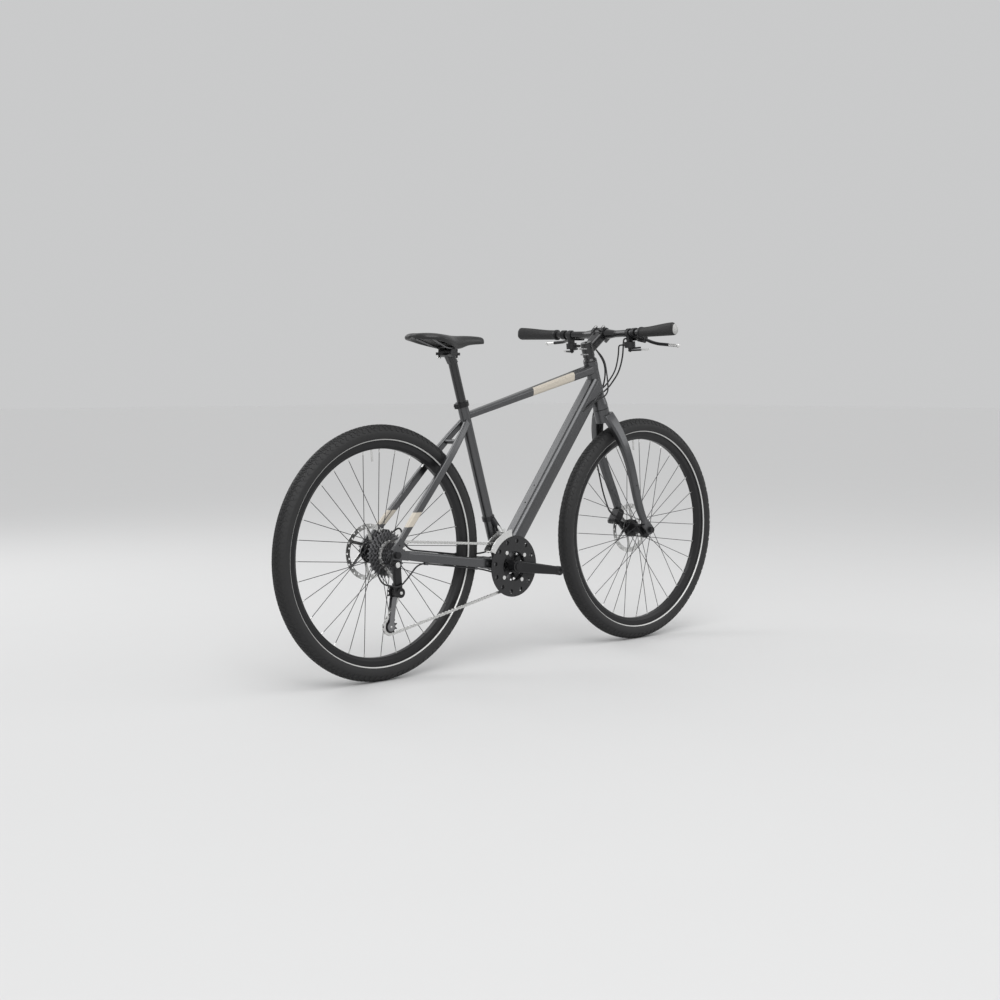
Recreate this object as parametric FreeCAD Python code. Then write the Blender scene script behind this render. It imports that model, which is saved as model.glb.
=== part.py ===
import FreeCAD, Part
import math
import os

Vector = FreeCAD.Vector

# Layout: X forward, Y to the left, Z up, millimetres, origin on the ground midway between the axles
wheelbase = 1086.0
tyre_radius = 362.0
bracket_drop = 69.0
chain_stay_length = 471.0
seat_angle = 73.0
head_angle = 71.5
fork_offset = 45.0
seat_tube_length = 513.0
seat_tube_setback = 6.0
head_tube_length = 157.0
head_tube_rise = 396.0

# Fits
running_fit = 0.05
seat_play = 0.02
turning_gap = 0.6
cut_overrun = 6.0

# Frame tubes
frame_wall = 2.0
corner_share = 0.3
bend_reach_share = 0.45
seat_tube_radius = 16.0
seatpost_radius = 13.6
head_low_radius = 24.5
head_mid_radius = 20.5
head_top_radius = 22.0
head_lip = 14.0
head_flare = 42.0
head_bore_radius = 17.0
headset_radius = 19.5
headset_depth = 10.0
headset_lip = 1.0
top_tube_seat_station = 468.0
top_tube_head_station = 132.0
top_tube_rear_width = 24.0
top_tube_rear_height = 19.0
top_tube_front_width = 38.0
top_tube_front_height = 30.0
down_tube_head_station = 85.0
down_tube_lift = 4.0
down_tube_start = 14.0
down_tube_rear_width = 50.0
down_tube_rear_height = 50.0
down_tube_front_width = 50.0
down_tube_front_height = 50.0
shell_radius = 20.5
shell_bore_radius = 17.0
shell_width = 68.0
boss_spacing = 64.0
boss_low_station = 205.0
boss_radius = 5.0
boss_length = 12.0
boss_thread_radius = 2.5

# Rear stays, their stations as shares of the straight line from the bracket or the seat tube to the axle
chain_stay_shares = (0.06, 0.24, 0.55, 0.8, 0.94)
chain_stay_spreads = (22.0, 41.0, 53.0, 62.0, 68.0)
chain_stay_widths = (12.0, 16.0, 17.0, 17.0, 14.0)
chain_stay_heights = (30.0, 28.0, 27.0, 25.0, 20.0)
seat_stay_station = 444.0
seat_stay_lift = 11.0
seat_stay_shares = (0.0, 0.3, 0.71, 0.92)
seat_stay_spreads = (11.0, 39.0, 57.0, 68.0)
seat_stay_widths = (13.0, 16.0, 16.0, 14.0)
seat_stay_heights = (20.0, 22.0, 22.0, 18.0)
bridge_share = 0.16
bridge_radius = 7.0
clip_shares = (0.3, 0.74)
clip_length = 12.0
clip_wall = 2.0
guide_length = 34.0
guide_width = 44.0
guide_height = 4.0
guide_block_height = 12.0

# Axle ends
rear_hub_width = 135.0
front_hub_width = 100.0
dropout_thickness = 8.0
dropout_radius = 15.0
dropout_reach = 44.0
dropout_arm_height = 24.0
hanger_behind = 9.0
hanger_drop = 25.0
hanger_radius = 11.0
axle_radius = 6.0
axle_head_radius = 9.5
axle_head_length = 8.0
axle_collar_radius = 9.0
eyelet_radius = 2.5
eyelet_rise = 26.0

# Seat clamp, seatpost and saddle
clamp_height = 14.0
clamp_thickness = 3.5
clamp_lug_length = 9.0
clamp_lug_width = 18.0
clamp_slot = 2.0
clamp_bolt_radius = 2.5
seatpost_insert = 200.0
seatpost_head_station = 645.0
seatpost_wall = 2.5
saddle_setback = 14.0
saddle_clamp_rise = 16.0
cradle_radius = 13.0
cradle_width = 52.0
rail_radius = 3.5
rail_spread = 44.0
rail_clamp_length = 42.0
rail_nose_spread = 14.0
rail_tail_spread = 72.0
rail_nose_rise = 24.0
rail_tail_rise = 27.0
rail_nose_reach = 108.0
rail_tail_reach = 92.0
clamp_plate_thickness = 6.0
saddle_length = 270.0
saddle_tail_behind = 136.0
saddle_rise = 6.0
saddle_station_shares = (0.0, 0.06, 0.18, 0.33, 0.52, 0.75, 0.93, 1.0)
saddle_widths = (50.0, 104.0, 146.0, 138.0, 84.0, 48.0, 40.0, 24.0)
saddle_thicknesses = (16.0, 19.0, 23.0, 30.0, 38.0, 28.0, 22.0, 15.0)
saddle_top_rises = (32.0, 36.0, 36.0, 33.0, 30.0, 31.0, 29.0, 23.0)
saddle_hollow_shares = (-0.1, 0.2, 0.33, 0.52, 0.72, 0.86)
saddle_hollow_widths = (96.0, 118.0, 112.0, 72.0, 34.0, 24.0)
saddle_shell = 15.0
saddle_hollow_depth = 60.0

# Fork
steerer_radius = 14.3
steerer_wall = 2.6
crown_height = 42.0
crown_radius = 25.0
leg_foot_rise = 24.0
leg_knee_rise = 297.0
leg_knee_ahead = 407.0
leg_foot_ahead = 519.0
leg_stations = (378.0, 340.0, 297.0, 160.0, 24.0)
leg_spreads = (16.0, 36.0, 50.0, 54.0, 55.0)
leg_widths = (27.0, 26.0, 24.0, 20.0, 16.0)
leg_depths = (42.0, 38.0, 34.0, 28.0, 20.0)
leg_boss_rise = 147.0
leg_boss_radius = 5.0
fork_web_rises = (62.0, 30.0)

# Headset stack, stem and handlebar
cover_height = 9.0
cover_top_radius = 18.0
cover_skirt_height = 3.0
spacer_height = 6.0
spacer_radius = 17.0
cap_height = 4.0
cap_radius = 17.0
cap_bolt_radius = 4.0
cap_bolt_height = 2.0
stem_clamp_height = 42.0
stem_clamp_radius = 19.0
stem_length = 79.0
stem_rise_angle = 39.8
stem_root_width = 34.0
stem_root_height = 32.0
stem_tip_width = 42.0
stem_tip_height = 32.0
bar_clamp_radius = 15.9
bar_clamp_wall = 5.0
bar_clamp_width = 46.0
faceplate_gap = 2.0
ear_radius = 5.5
ear_length = 11.0
ear_spread = 33.0
stem_bolt_radius = 2.5
stem_bolt_head_radius = 4.2
stem_bolt_head_length = 4.0
rear_bolt_shares = (0.28, 0.72)
rear_bolt_length = 30.0
bar_radius = 11.1
bar_wall = 2.2
bar_bulge_half = 30.0
bar_taper_end = 64.0
bar_bend_half = 74.0
bar_end_half = 328.0
bar_sweep = 30.0
bar_rise = 4.0
bar_bend_radius = 60.0

# Grips
grip_inner_half = 178.0
grip_outer_half = 334.0
grip_radius = 15.5
grip_wing_reach = 10.0
grip_wing_thickness = 22.0
grip_wing_angle = 108.0
grip_wing_shares = (0.2, 0.6, 1.0)
grip_wing_reach_shares = (0.05, 0.6, 1.0)
grip_ring_width = 9.0
grip_ring_radius = 17.0
grip_plug_length = 3.0

# Brake controls
right_lever_slope = 34.0
left_lever_slope = 20.0
brake_clamp_half = 152.0
brake_clamp_width = 14.0
brake_clamp_wall = 4.0
master_reach = 27.0
master_radius = 8.5
master_inner_half = 98.0
master_outer_half = 160.0
reservoir_height = 15.0
reservoir_width = 22.0
reservoir_length = 42.0
lever_pivot_reach = 36.0
lever_pivot_half = 168.0
lever_pivot_radius = 3.0
lever_eye_radius = 8.0
lever_eye_thickness = 8.0
fork_cheek_thickness = 4.0
fork_cheek_length = 15.0
lever_knee_half = 200.0
lever_knee_reach = 62.0
lever_tip_half = 286.0
lever_tip_reach = 78.0
lever_radius = 5.0
lever_tip_radius = 7.0

# Shifters
shifter_slope = 84.0
shifter_clamp_half = 126.0
shifter_clamp_width = 12.0
shifter_clamp_wall = 3.5
shifter_reach = 36.0
shifter_radius = 17.0
shifter_height = 18.0
thumb_length = 56.0
thumb_width = 13.0
thumb_thickness = 5.0
thumb_angle = -25.0
release_length = 32.0
release_angle = -72.0
shift_pin_radius = 3.0
shift_pin_length = 14.0
barrel_reach = 32.0
barrel_adjuster_radius = 4.5
lever_layer_gap = 0.8

# Rims and tyres
tyre_width = 50.0
tyre_wall = 3.0
bead_seat_radius = 311.0
rim_width = 26.0
rim_wall = 2.0
rim_flange_height = 6.0
rim_well_depth = 5.0
rim_inner_radius = 294.0
rim_inner_width = 14.0
rim_shoulder_radius = 303.0
tube_wall = 1.0
tube_gap = 0.5
valve_radius = 3.0
valve_bore_radius = 1.2
valve_length = 34.0
valve_hole_radius = 3.4

# Spokes
spoke_count = 32
spoke_radius = 1.0
spoke_crosses = 3
spoke_gap = 1.0
spoke_bend_radius = 1.3
spoke_head_reach = 3.4
nipple_radius = 2.0
nipple_length = 13.0
nipple_head_radius = 3.0
nipple_head_length = 2.5
nipple_hole_radius = 2.8
rear_first_spoke = 90.0
front_first_spoke = 89.1

# Hubs
hub_bore_radius = 13.0
hub_barrel_radius = 16.0
hub_flange_radius = 28.0
hub_flange_thickness = 3.6
spoke_circle_radius = 25.5
spoke_hole_radius = 1.3
bearing_width = 7.0
front_flange_right = 34.0
front_flange_left = 20.0
rear_flange_right = 18.0
rear_flange_left = 34.0
hub_side_length = 7.0

# Brake rotors and calipers
rotor_radius = 80.0
rotor_band = 14.0
rotor_thickness = 1.9
rotor_inset = 15.5
rotor_hub_radius = 29.0
rotor_bore_radius = 18.0
rotor_arm_width = 9.0
rotor_arm_lean = 32.0
rotor_arms = 6
rotor_holes = 30
rotor_hole_radius = 2.8
rotor_hole_swing = 2.8
rotor_bolt_circle = 22.0
rotor_bolt_radius = 2.4
rotor_bolt_head_radius = 3.6
rotor_bolt_head_length = 2.2
pad_gap = 0.4
pad_thickness = 3.6
pad_length = 28.0
pad_height = 15.0
caliper_wall = 6.0
caliper_length = 52.0
caliper_height = 27.0
caliper_roof = 8.0
front_caliper_angle = 146.0
rear_caliper_angle = 27.0
mount_bolt_radius = 3.0
mount_bolt_head_radius = 5.0
mount_bolt_head_length = 4.0
mount_bolt_inset = 7.0
mount_web_margin = 9.0

# Crankset
crank_length = 170.0
crank_angle = -8.65
spindle_radius = 12.0
spindle_wall = 2.5
cup_radius = 21.5
cup_width = 9.0
crank_hub_radius = 19.0
crank_hub_end = 79.0
crank_bolt_radius = 9.0
crank_bolt_length = 2.5
arm_root_height = 36.0
arm_tip_height = 25.0
arm_thickness = 14.0
arm_root_offset = 71.0
pedal_face_offset = 88.0
pedal_eye_radius = 14.0
pedal_eye_thickness = 14.0
pedal_thread_radius = 7.14
bolt_circle_radius = 52.0
inner_bolt_circle = 32.0
spider_arm_width = 17.0
spider_boss_radius = 9.0
ring_thickness = 2.2
ring_spacing = 8.0
ring_inner_radius = 44.5
small_ring_inner_radius = 25.5
small_post_radius = 6.0
ring_bolt_radius = 4.5
ring_bolt_head_radius = 6.0
ring_bolt_head_length = 1.8
guard_radius = 92.0
guard_thickness = 2.6
guard_gap = 2.4
guard_post_radius = 7.5
guard_windows = 12
guard_window_radius = 6.5
guard_window_circle = 76.0
large_teeth = 42
middle_teeth = 32
small_teeth = 22

# Chain and cassette
chain_pitch = 12.7
chain_line = 46.0
roller_radius = 3.85
roller_width = 2.5
tooth_valley_radius = 4.2
tooth_height = 3.0
tooth_tip = 1.9
tooth_thickness = 1.8
chain_plate_thickness = 0.95
chain_plate_radius = 4.1
chain_waist = 3.3
chain_layer_gap = 0.1
chain_pin_radius = 1.8
chain_pin_play = 0.3
sprocket_teeth = (32, 28, 24, 21, 18, 16, 14, 12, 11)
running_sprocket = 4
sprocket_pitch = 4.35
freehub_radius = 16.5
freehub_bore_radius = 10.0
lockring_radius = 15.5
lockring_length = 1.4
freehub_end_gap = 3.0
cassette_spacer_radius = 18.5

# Derailleurs
pulley_teeth = 11
guide_ahead = 13.0
guide_drop = 106.0
tension_behind = 2.0
tension_drop = 202.0
pulley_hub_radius = 6.0
pulley_pin_radius = 2.5
cage_gap = 4.6
cage_thickness = 1.8
cage_radius = 13.0
cage_waist = 16.0
knuckle_radius = 13.0
knuckle_length = 15.0
pivot_knuckle_radius = 14.0
pivot_knuckle_length = 25.0
link_height = 26.0
knuckle_bolt_radius = 4.5
knuckle_bolt_length = 1.5
knuckle_bolt_head_radius = 7.2
link_first_depth = 13.0
link_second_depth = 12.0
barrel_radius = 3.2
barrel_length = 14.0
front_cage_gap = 3.5
front_cage_height = 21.0
front_cage_first = 97.0
front_cage_last = 152.0
front_cage_thickness = 1.5
front_cage_inner_offset = 34.0
front_cage_outer_offset = 63.5
front_band_station = 150.0
front_band_height = 13.0
front_band_thickness = 3.0
front_arm_width = 16.0
cage_bridge_inset = 6.0
cage_bridge_radius = 3.0
tail_bridge_inset = 3.0
tail_bridge_radius = 2.0
cage_bridge_share = 0.17
tail_bridge_share = 0.96

# Hoses and cables, their routes chosen along the bike
hose_radius = 2.5
cable_radius = 2.3
port_clearance = 0.4
cable_lead = 20.0
cable_loop_lead = 30.0
cable_stay_gap = 0.8
front_hose_offset = 44.0
rear_hose_offset = 61.0
hose_stay_shares = (0.26, 0.55, 0.7)
cable_stay_shares = (0.24, 0.55, 0.8)
front_hose_points = (
    (384.0, 40.0, 946.0), (394.0, 10.0, 900.0), (396.0, 12.0, 846.0), (390.0, 58.0, 744.0),
    (396.0, 69.0, 682.0), (424.0, 75.0, 590.0), (452.0, 70.0, 480.0))
rear_hose_points = (
    (402.0, -58.0, 920.0), (404.0, -40.0, 872.0), (392.0, -4.0, 820.0), (366.0, 30.0, 790.0),
    (300.0, 36.0, 768.0), (236.0, 14.0, 715.0), (-8.0, 14.0, 390.0), (-54.0, 31.0, 345.0),
    (-112.0, 34.0, 328.0))
rear_hose_rise_points = ((-420.0, 58.0, 426.0),)
rear_cable_points = (
    (390.0, -50.0, 922.0), (394.0, -34.0, 876.0), (383.0, 1.0, 826.0), (360.0, 33.0, 800.0),
    (300.0, 37.0, 778.0), (236.0, 2.0, 722.0), (10.0, -14.0, 410.0), (-30.0, -15.0, 318.0),
    (-60.0, -16.0, 266.0), (-94.0, -18.0, 265.0))
cable_loop_points = ((-506.0, -79.0, 297.0), (-538.0, -80.0, 272.0), (-598.0, -80.0, 286.0), (-617.0, -81.0, 315.0))
front_cable_points = (
    (374.0, 40.0, 952.0), (383.0, 2.0, 914.0), (380.0, -14.0, 850.0), (362.0, -34.0, 804.0),
    (290.0, -33.0, 776.0), (225.0, -14.0, 726.0), (30.0, 2.0, 440.0), (-24.0, -2.0, 318.0),
    (-60.0, -3.0, 266.0), (-102.0, -4.0, 265.0), (-112.0, -12.0, 320.0))

os.makedirs("parts", exist_ok=True)

across = Vector(0, 1, 0)
upward = Vector(0, 0, 1)
ahead = Vector(1, 0, 0)
right_side = -1
left_side = 1
both_sides = (right_side, left_side)

# Places that the pieces share
rear_axle = Vector(-wheelbase / 2, 0, tyre_radius)
front_axle = Vector(wheelbase / 2, 0, tyre_radius)
bracket_reach = math.sqrt(chain_stay_length ** 2 - bracket_drop ** 2)
bracket = rear_axle + ahead * bracket_reach - upward * bracket_drop


def slanted(angle):
    turn = math.radians(angle)
    return Vector(math.cos(turn), 0, math.sin(turn))


seat_up = slanted(180 - seat_angle)
steer_up = slanted(180 - head_angle)
steer_foot = front_axle - ahead * (fork_offset / steer_up.z)
head_bottom = steer_foot + steer_up * (head_tube_rise / steer_up.z)
head_top = head_bottom + steer_up * head_tube_length
seat_base = bracket - ahead * seat_tube_setback
seat_top = seat_base + seat_up * seat_tube_length


def unit(direction):
    result = Vector(direction)
    result.normalize()
    return result


def polar(centre, angle, radius, offset):
    return Vector(centre.x, offset, centre.z) + slanted(angle) * radius


def rod(start, end, radius):
    run = end - start
    return Part.makeCylinder(radius, run.Length, start, run)


def drum(centre, direction, length, radius):
    half = unit(direction) * (length / 2)
    return rod(centre - half, centre + half, radius)


def turned(outline, base, axis):
    side = slanted(90) if abs(axis.y) > abs(axis.z) else across
    points = [base + axis * along + side * radius for along, radius in outline]
    face = Part.Face(Part.makePolygon(points + points[:1]))
    return face.revolve(base, axis, 360)


def washer(centre, length, outer, inner):
    half = length / 2
    return turned([(-half, inner), (-half, outer), (half, outer), (half, inner)], centre, across)


def flat(points, depth):
    return Part.Face(Part.makePolygon(points + points[:1])).extrude(depth)


def rounded(centre, wide, tall, width, height):
    corner = corner_share * min(width, height)
    diagonal = corner * (1 - math.sqrt(2) / 2)
    edges = []
    ends = []
    for x_sign, y_sign in ((1, -1), (1, 1), (-1, 1), (-1, -1)):
        point = centre + wide * (x_sign * width / 2) + tall * (y_sign * height / 2)
        before = point - wide * (x_sign * corner)
        after = point - tall * (y_sign * corner)
        middle = point - wide * (x_sign * diagonal) - tall * (y_sign * diagonal)
        if x_sign * y_sign > 0:
            before, after = after, before
        ends.append((before, middle, after))
    for place, (before, middle, after) in enumerate(ends):
        edges.append(Part.Arc(before, middle, after).toShape())
        edges.append(Part.LineSegment(after, ends[(place + 1) % len(ends)][0]).toShape())
    return Part.Wire(edges)


def lofted(sections):
    shape = Part.makeLoft([rounded(*section) for section in sections], True)
    if shape.Volume < 0:
        shape.reverse()
    return shape


def thinner(sections, wall):
    return [(c, w, t, width - 2 * wall, height - 2 * wall) for c, w, t, width, height in sections]


def tube(sections, wall):
    return lofted(sections).cut(lofted(thinner(sections, wall)))


def rounded_path(points, bend_radius):
    edges = []
    previous = points[0]
    for before, point, after in zip(points, points[1:], points[2:]):
        arriving = unit(point - before)
        leaving = unit(after - point)
        half_turn = arriving.getAngle(leaving) / 2
        reach = bend_reach_share * min((point - before).Length, (after - point).Length)
        if bend_radius:
            reach = min(reach, bend_radius * math.tan(half_turn))
        radius = reach / math.tan(half_turn)
        start = point - arriving * reach
        end = point + leaving * reach
        middle = point + unit(leaving - arriving) * (radius / math.cos(half_turn) - radius)
        edges.append(Part.LineSegment(previous, start).toShape())
        edges.append(Part.Arc(start, middle, end).toShape())
        previous = end
    edges.append(Part.LineSegment(previous, points[-1]).toShape())
    return Part.Wire(edges)


def bent_rod(points, radius, bend_radius=0):
    path = rounded_path(points, bend_radius)
    circle = Part.Wire(Part.makeCircle(radius, points[0], points[1] - points[0]))
    return path.makePipeShell([circle], True, True)


def single(shape):
    return shape.Solids[0] if len(shape.Solids) == 1 else shape


def joined(first, *others):
    return single(first.multiFuse(list(others)).removeSplitter())


def without(shape, *cutters):
    return single(shape.cut(list(cutters)))


def keep(name, *solids):
    shape = solids[0] if len(solids) == 1 else Part.makeCompound(list(solids))
    shape.exportStep(f"parts/{name}.step")


def handed(word, shape):
    return shape if word == "right" else shape.mirror(Vector(0, 0, 0), across)


def strap(first, second, half_width, end_radius, depth):
    aside = unit(second - first).cross(across) * half_width
    return joined(flat([first - aside, second - aside, second + aside, first + aside], depth),
                  rod(first, first + depth, end_radius), rod(second, second + depth, end_radius))


def caliper_bolt_places(axle, angle, offset):
    out = slanted(angle)
    along = out.cross(across)
    middle = polar(axle, angle, rotor_radius + caliper_roof - caliper_height / 2, offset)
    reach = caliper_length / 2 - mount_bolt_inset
    return [middle + along * (sign * reach) for sign in (-1, 1)]


def caliper_block(axle, angle, hub_width):
    out = slanted(angle)
    along = out.cross(across)
    radius = rotor_radius + caliper_roof - caliper_height / 2
    slot_half = rotor_thickness / 2 + pad_gap + pad_thickness
    low = hub_width / 2 - rotor_inset - slot_half - caliper_wall
    return lofted([(polar(axle, angle, radius, low), along, out, caliper_length, caliper_height),
                   (polar(axle, angle, radius, hub_width / 2), along, out, caliper_length, caliper_height)])


def mount_web(axle, angle, hub_width, anchors):
    places = caliper_bolt_places(axle, angle, hub_width / 2)
    depth = across * dropout_thickness
    straps = [strap(places[0], places[1], mount_web_margin, mount_web_margin, depth)]
    for anchor, place in zip(anchors, places):
        first = Vector(anchor.x, hub_width / 2, anchor.z)
        straps.append(strap(first, place, mount_web_margin, mount_web_margin, depth))
    return joined(*straps)


def mount_bolts(axle, angle, hub_width):
    bolts = []
    for place in caliper_bolt_places(axle, angle, hub_width / 2):
        face = place + across * dropout_thickness
        shank = rod(place - across * mount_bolt_inset, face, mount_bolt_radius)
        head = rod(face, face + across * mount_bolt_head_length, mount_bolt_head_radius)
        bolts.append(joined(shank, head))
    return bolts


# Main tubes of the frame, each mitred to the ones that it is welded to
head_tube = turned([
    (0, headset_radius), (0, head_low_radius), (head_lip, head_low_radius), (head_flare, head_mid_radius),
    (head_tube_length - 2 * head_lip, head_mid_radius), (head_tube_length - head_lip, head_top_radius),
    (head_tube_length, head_top_radius), (head_tube_length, headset_radius),
    (head_tube_length - headset_depth, headset_radius), (head_tube_length - headset_depth, head_bore_radius),
    (headset_depth, head_bore_radius), (headset_depth, headset_radius)], head_bottom, steer_up)
head_core = turned([
    (0, 0), (0, head_low_radius), (head_lip, head_low_radius), (head_flare, head_mid_radius),
    (head_tube_length - 2 * head_lip, head_mid_radius), (head_tube_length - head_lip, head_top_radius),
    (head_tube_length, head_top_radius), (head_tube_length, 0)], head_bottom, steer_up)
shell_ends = [bracket + across * (side * shell_width / 2) for side in both_sides]
shell_core = rod(shell_ends[0], shell_ends[1], shell_radius)
seat_core = rod(seat_base, seat_top, seat_tube_radius)
seat_bore = rod(seat_base, seat_top + seat_up * cut_overrun, seatpost_radius + running_fit)

top_start = seat_base + seat_up * top_tube_seat_station
top_end = head_bottom + steer_up * top_tube_head_station
top_along = unit(top_end - top_start)
top_tall = top_along.cross(across) * -1
top_sections = [
    (top_start, across, top_tall, top_tube_rear_width, top_tube_rear_height),
    (top_end, across, top_tall, top_tube_front_width, top_tube_front_height)]
top_tube = without(tube(top_sections, frame_wall), seat_core, head_core)

down_end = head_bottom + steer_up * down_tube_head_station
down_foot = bracket + upward * down_tube_lift
down_along = unit(down_end - down_foot)
down_tall = down_along.cross(across)
down_sections = [
    (down_foot + down_along * down_tube_start, across, down_tall, down_tube_rear_width,
     down_tube_rear_height),
    (down_end, across, down_tall, down_tube_front_width, down_tube_front_height)]
down_core = lofted(down_sections)
down_tube = without(tube(down_sections, frame_wall), head_core, shell_core, seat_core)


def down_half_height(station):
    share = station / (down_end - down_foot).Length
    return (down_tube_rear_height + (down_tube_front_height - down_tube_rear_height) * share) / 2


boss_bores = []
for station in (boss_low_station, boss_low_station + boss_spacing):
    face = down_foot + down_along * station + down_tall * down_half_height(station)
    down_tube = down_tube.fuse(rod(face - down_tall * boss_length, face, boss_radius))
    boss_bores.append(rod(face - down_tall * (boss_length + cut_overrun), face + down_tall * cut_overrun,
                          boss_thread_radius))
down_tube = without(down_tube, *boss_bores)
seat_tube = without(seat_core, seat_bore, shell_core)
shell = without(shell_core, rod(shell_ends[0], shell_ends[1], shell_bore_radius))

# Rear stays and dropouts
chain_stay_along = unit(rear_axle - bracket)
chain_stay_tall = chain_stay_along.cross(across)
seat_stay_top = seat_base + seat_up * seat_stay_station
seat_stay_along = unit(rear_axle - seat_stay_top)
seat_stay_tall = seat_stay_along.cross(across)
if chain_stay_tall.z < 0:
    chain_stay_tall = chain_stay_tall * -1
if seat_stay_tall.z < 0:
    seat_stay_tall = seat_stay_tall * -1


def stay_sections(start, end, tall, side, shares, spreads, widths, heights):
    sections = []
    for share, spread, width, height in zip(shares, spreads, widths, heights):
        centre = start + (end - start) * share + across * (side * spread)
        sections.append((centre, across, tall, width, height))
    return sections


def chain_stay_sections(side):
    return stay_sections(bracket, rear_axle, chain_stay_tall, side, chain_stay_shares, chain_stay_spreads,
                         chain_stay_widths, chain_stay_heights)


def seat_stay_sections(side):
    lift = seat_stay_tall * seat_stay_lift
    return stay_sections(seat_stay_top + lift, rear_axle + lift, seat_stay_tall, side, seat_stay_shares,
                         seat_stay_spreads, seat_stay_widths, seat_stay_heights)


def between(value, stations, values):
    for low, high, first, second in zip(stations, stations[1:], values, values[1:]):
        if value <= high:
            return first + (second - first) * (value - low) / (high - low)
    return values[-1]


def beside_stay(share, side, sign, gap):
    height = between(share, chain_stay_shares, chain_stay_heights)
    spread = between(share, chain_stay_shares, chain_stay_spreads)
    middle = bracket + (rear_axle - bracket) * share + across * (side * spread)
    return middle + chain_stay_tall * (sign * (height / 2 + gap))


def axle_plate(axle, side, hub_width, arms):
    inner = hub_width / 2
    outer = inner + dropout_thickness
    plate = rod(axle + across * (side * inner), axle + across * (side * outer), dropout_radius)
    for direction, reach, height, lift in arms:
        tall = direction.cross(across)
        base = axle + across * (side * inner) + lift
        points = [base - tall * (height / 2), base + direction * reach - tall * (height / 2),
                  base + direction * reach + tall * (height / 2), base + tall * (height / 2)]
        plate = plate.fuse(flat(points, across * (side * dropout_thickness)))
    return plate


def through(axle, side, hub_width, radius):
    start = axle + across * (side * (hub_width / 2 - cut_overrun))
    return rod(start, start + across * (side * (dropout_thickness + 2 * cut_overrun)), radius)


hanger_centre = rear_axle - ahead * hanger_behind - upward * hanger_drop
level = Vector(0, 0, 0)
rear_arms = [(seat_stay_along * -1, dropout_reach, dropout_arm_height, seat_stay_tall * seat_stay_lift),
             (chain_stay_along * -1, dropout_reach, dropout_arm_height, level)]
hanger_arm = (unit(hanger_centre - rear_axle), (hanger_centre - rear_axle).Length, 2 * hanger_radius, level)
dropouts = []
solid_plates = []
for side in both_sides:
    arms = rear_arms + ([hanger_arm] if side == right_side else [])
    plate = axle_plate(rear_axle, side, rear_hub_width, arms)
    if side == right_side:
        hanger_face = hanger_centre + across * (side * rear_hub_width / 2)
        plate = plate.fuse(rod(hanger_face, hanger_face + across * (side * dropout_thickness), hanger_radius))
        plate = plate.cut(through(hanger_centre, side, rear_hub_width, knuckle_bolt_radius + seat_play))
    else:
        plate = plate.fuse(mount_web(rear_axle, rear_caliper_angle, rear_hub_width, [rear_axle, rear_axle]))
    eyelet_centre = rear_axle - seat_stay_along * eyelet_rise + seat_stay_tall * seat_stay_lift
    plate = single(plate.removeSplitter())
    solid_plates.append(plate)
    dropouts.append(without(plate, through(rear_axle, side, rear_hub_width, axle_radius + seat_play),
                            through(eyelet_centre, side, rear_hub_width, eyelet_radius),
                            *mount_bolts(rear_axle, rear_caliper_angle, rear_hub_width)))

chain_stays = []
seat_stays = []
for side, solid_plate in zip(both_sides, solid_plates):
    lower = tube(chain_stay_sections(side), frame_wall)
    chain_stays.append(without(lower, solid_plate, shell_core))
    upper = tube(seat_stay_sections(side), frame_wall)
    seat_stays.append(without(upper, solid_plate, seat_core))
bridge_centre = seat_stay_top + (rear_axle - seat_stay_top) * bridge_share + seat_stay_tall * seat_stay_lift
bridge = drum(bridge_centre, across, 2 * seat_stay_spreads[1], bridge_radius)
for side in both_sides:
    bridge = bridge.cut(lofted(seat_stay_sections(side)))
bridge = min(bridge.Solids, key=lambda solid: abs(solid.CenterOfMass.y))

# Seat clamp collar with a slotted lug and its bolt
clamp_centre = seat_top - seat_up * (clamp_height / 2)
clamp_outer = seat_tube_radius + clamp_thickness
lug_back = seat_up.cross(across)
lug_centre = clamp_centre + lug_back * (clamp_outer + clamp_lug_length / 2 - clamp_thickness)
lug = lofted([(lug_centre - seat_up * (clamp_height / 2), across, lug_back, clamp_lug_width,
               clamp_lug_length + clamp_thickness),
              (lug_centre + seat_up * (clamp_height / 2), across, lug_back, clamp_lug_width,
               clamp_lug_length + clamp_thickness)])
collar = drum(clamp_centre, seat_up, clamp_height, clamp_outer).fuse(lug)
slot_cut = lofted([(lug_centre + seat_up * (sign * clamp_height), across, lug_back, clamp_slot,
                    clamp_lug_length + 2 * clamp_thickness) for sign in (-1, 1)])
bolt_place = lug_centre + lug_back * (clamp_lug_length / 4)
clamp_bolt = drum(bolt_place, across, clamp_lug_width + clamp_thickness, clamp_bolt_radius)
collar = without(collar.removeSplitter(), seat_core, slot_cut, clamp_bolt)

# Bearings that the frame carries
headset_rings = [
    rod(head_bottom - steer_up * headset_lip, head_bottom + steer_up * headset_depth, headset_radius),
    rod(head_top - steer_up * headset_depth, head_top + steer_up * headset_lip, headset_radius)]
steerer_run = rod(head_bottom - steer_up * head_tube_length, head_top + steer_up * head_tube_length,
                  steerer_radius + running_fit)
headset_rings = [ring.cut(steerer_run) for ring in headset_rings]
cup_end = shell_width / 2 + cup_width
bracket_cups = []
for side in both_sides:
    flange = bracket + across * (side * (shell_width / 2 + cup_width / 2))
    sleeve = bracket + across * (side * (shell_width / 2 - cup_width / 2))
    cup = joined(washer(flange, cup_width, cup_radius, spindle_radius + running_fit),
                 washer(sleeve, cup_width, shell_bore_radius, spindle_radius + running_fit))
    bracket_cups.append(cup)

keep("head_tube", head_tube)
keep("top_tube", top_tube)
keep("seat_tube", seat_tube)
keep("dropouts", *dropouts)
keep("seat_stays", *seat_stays, bridge)
keep("seat_clamp", collar, clamp_bolt)
keep("headset_bearings", *headset_rings)
keep("bottom_bracket_cups", *bracket_cups)

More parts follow.
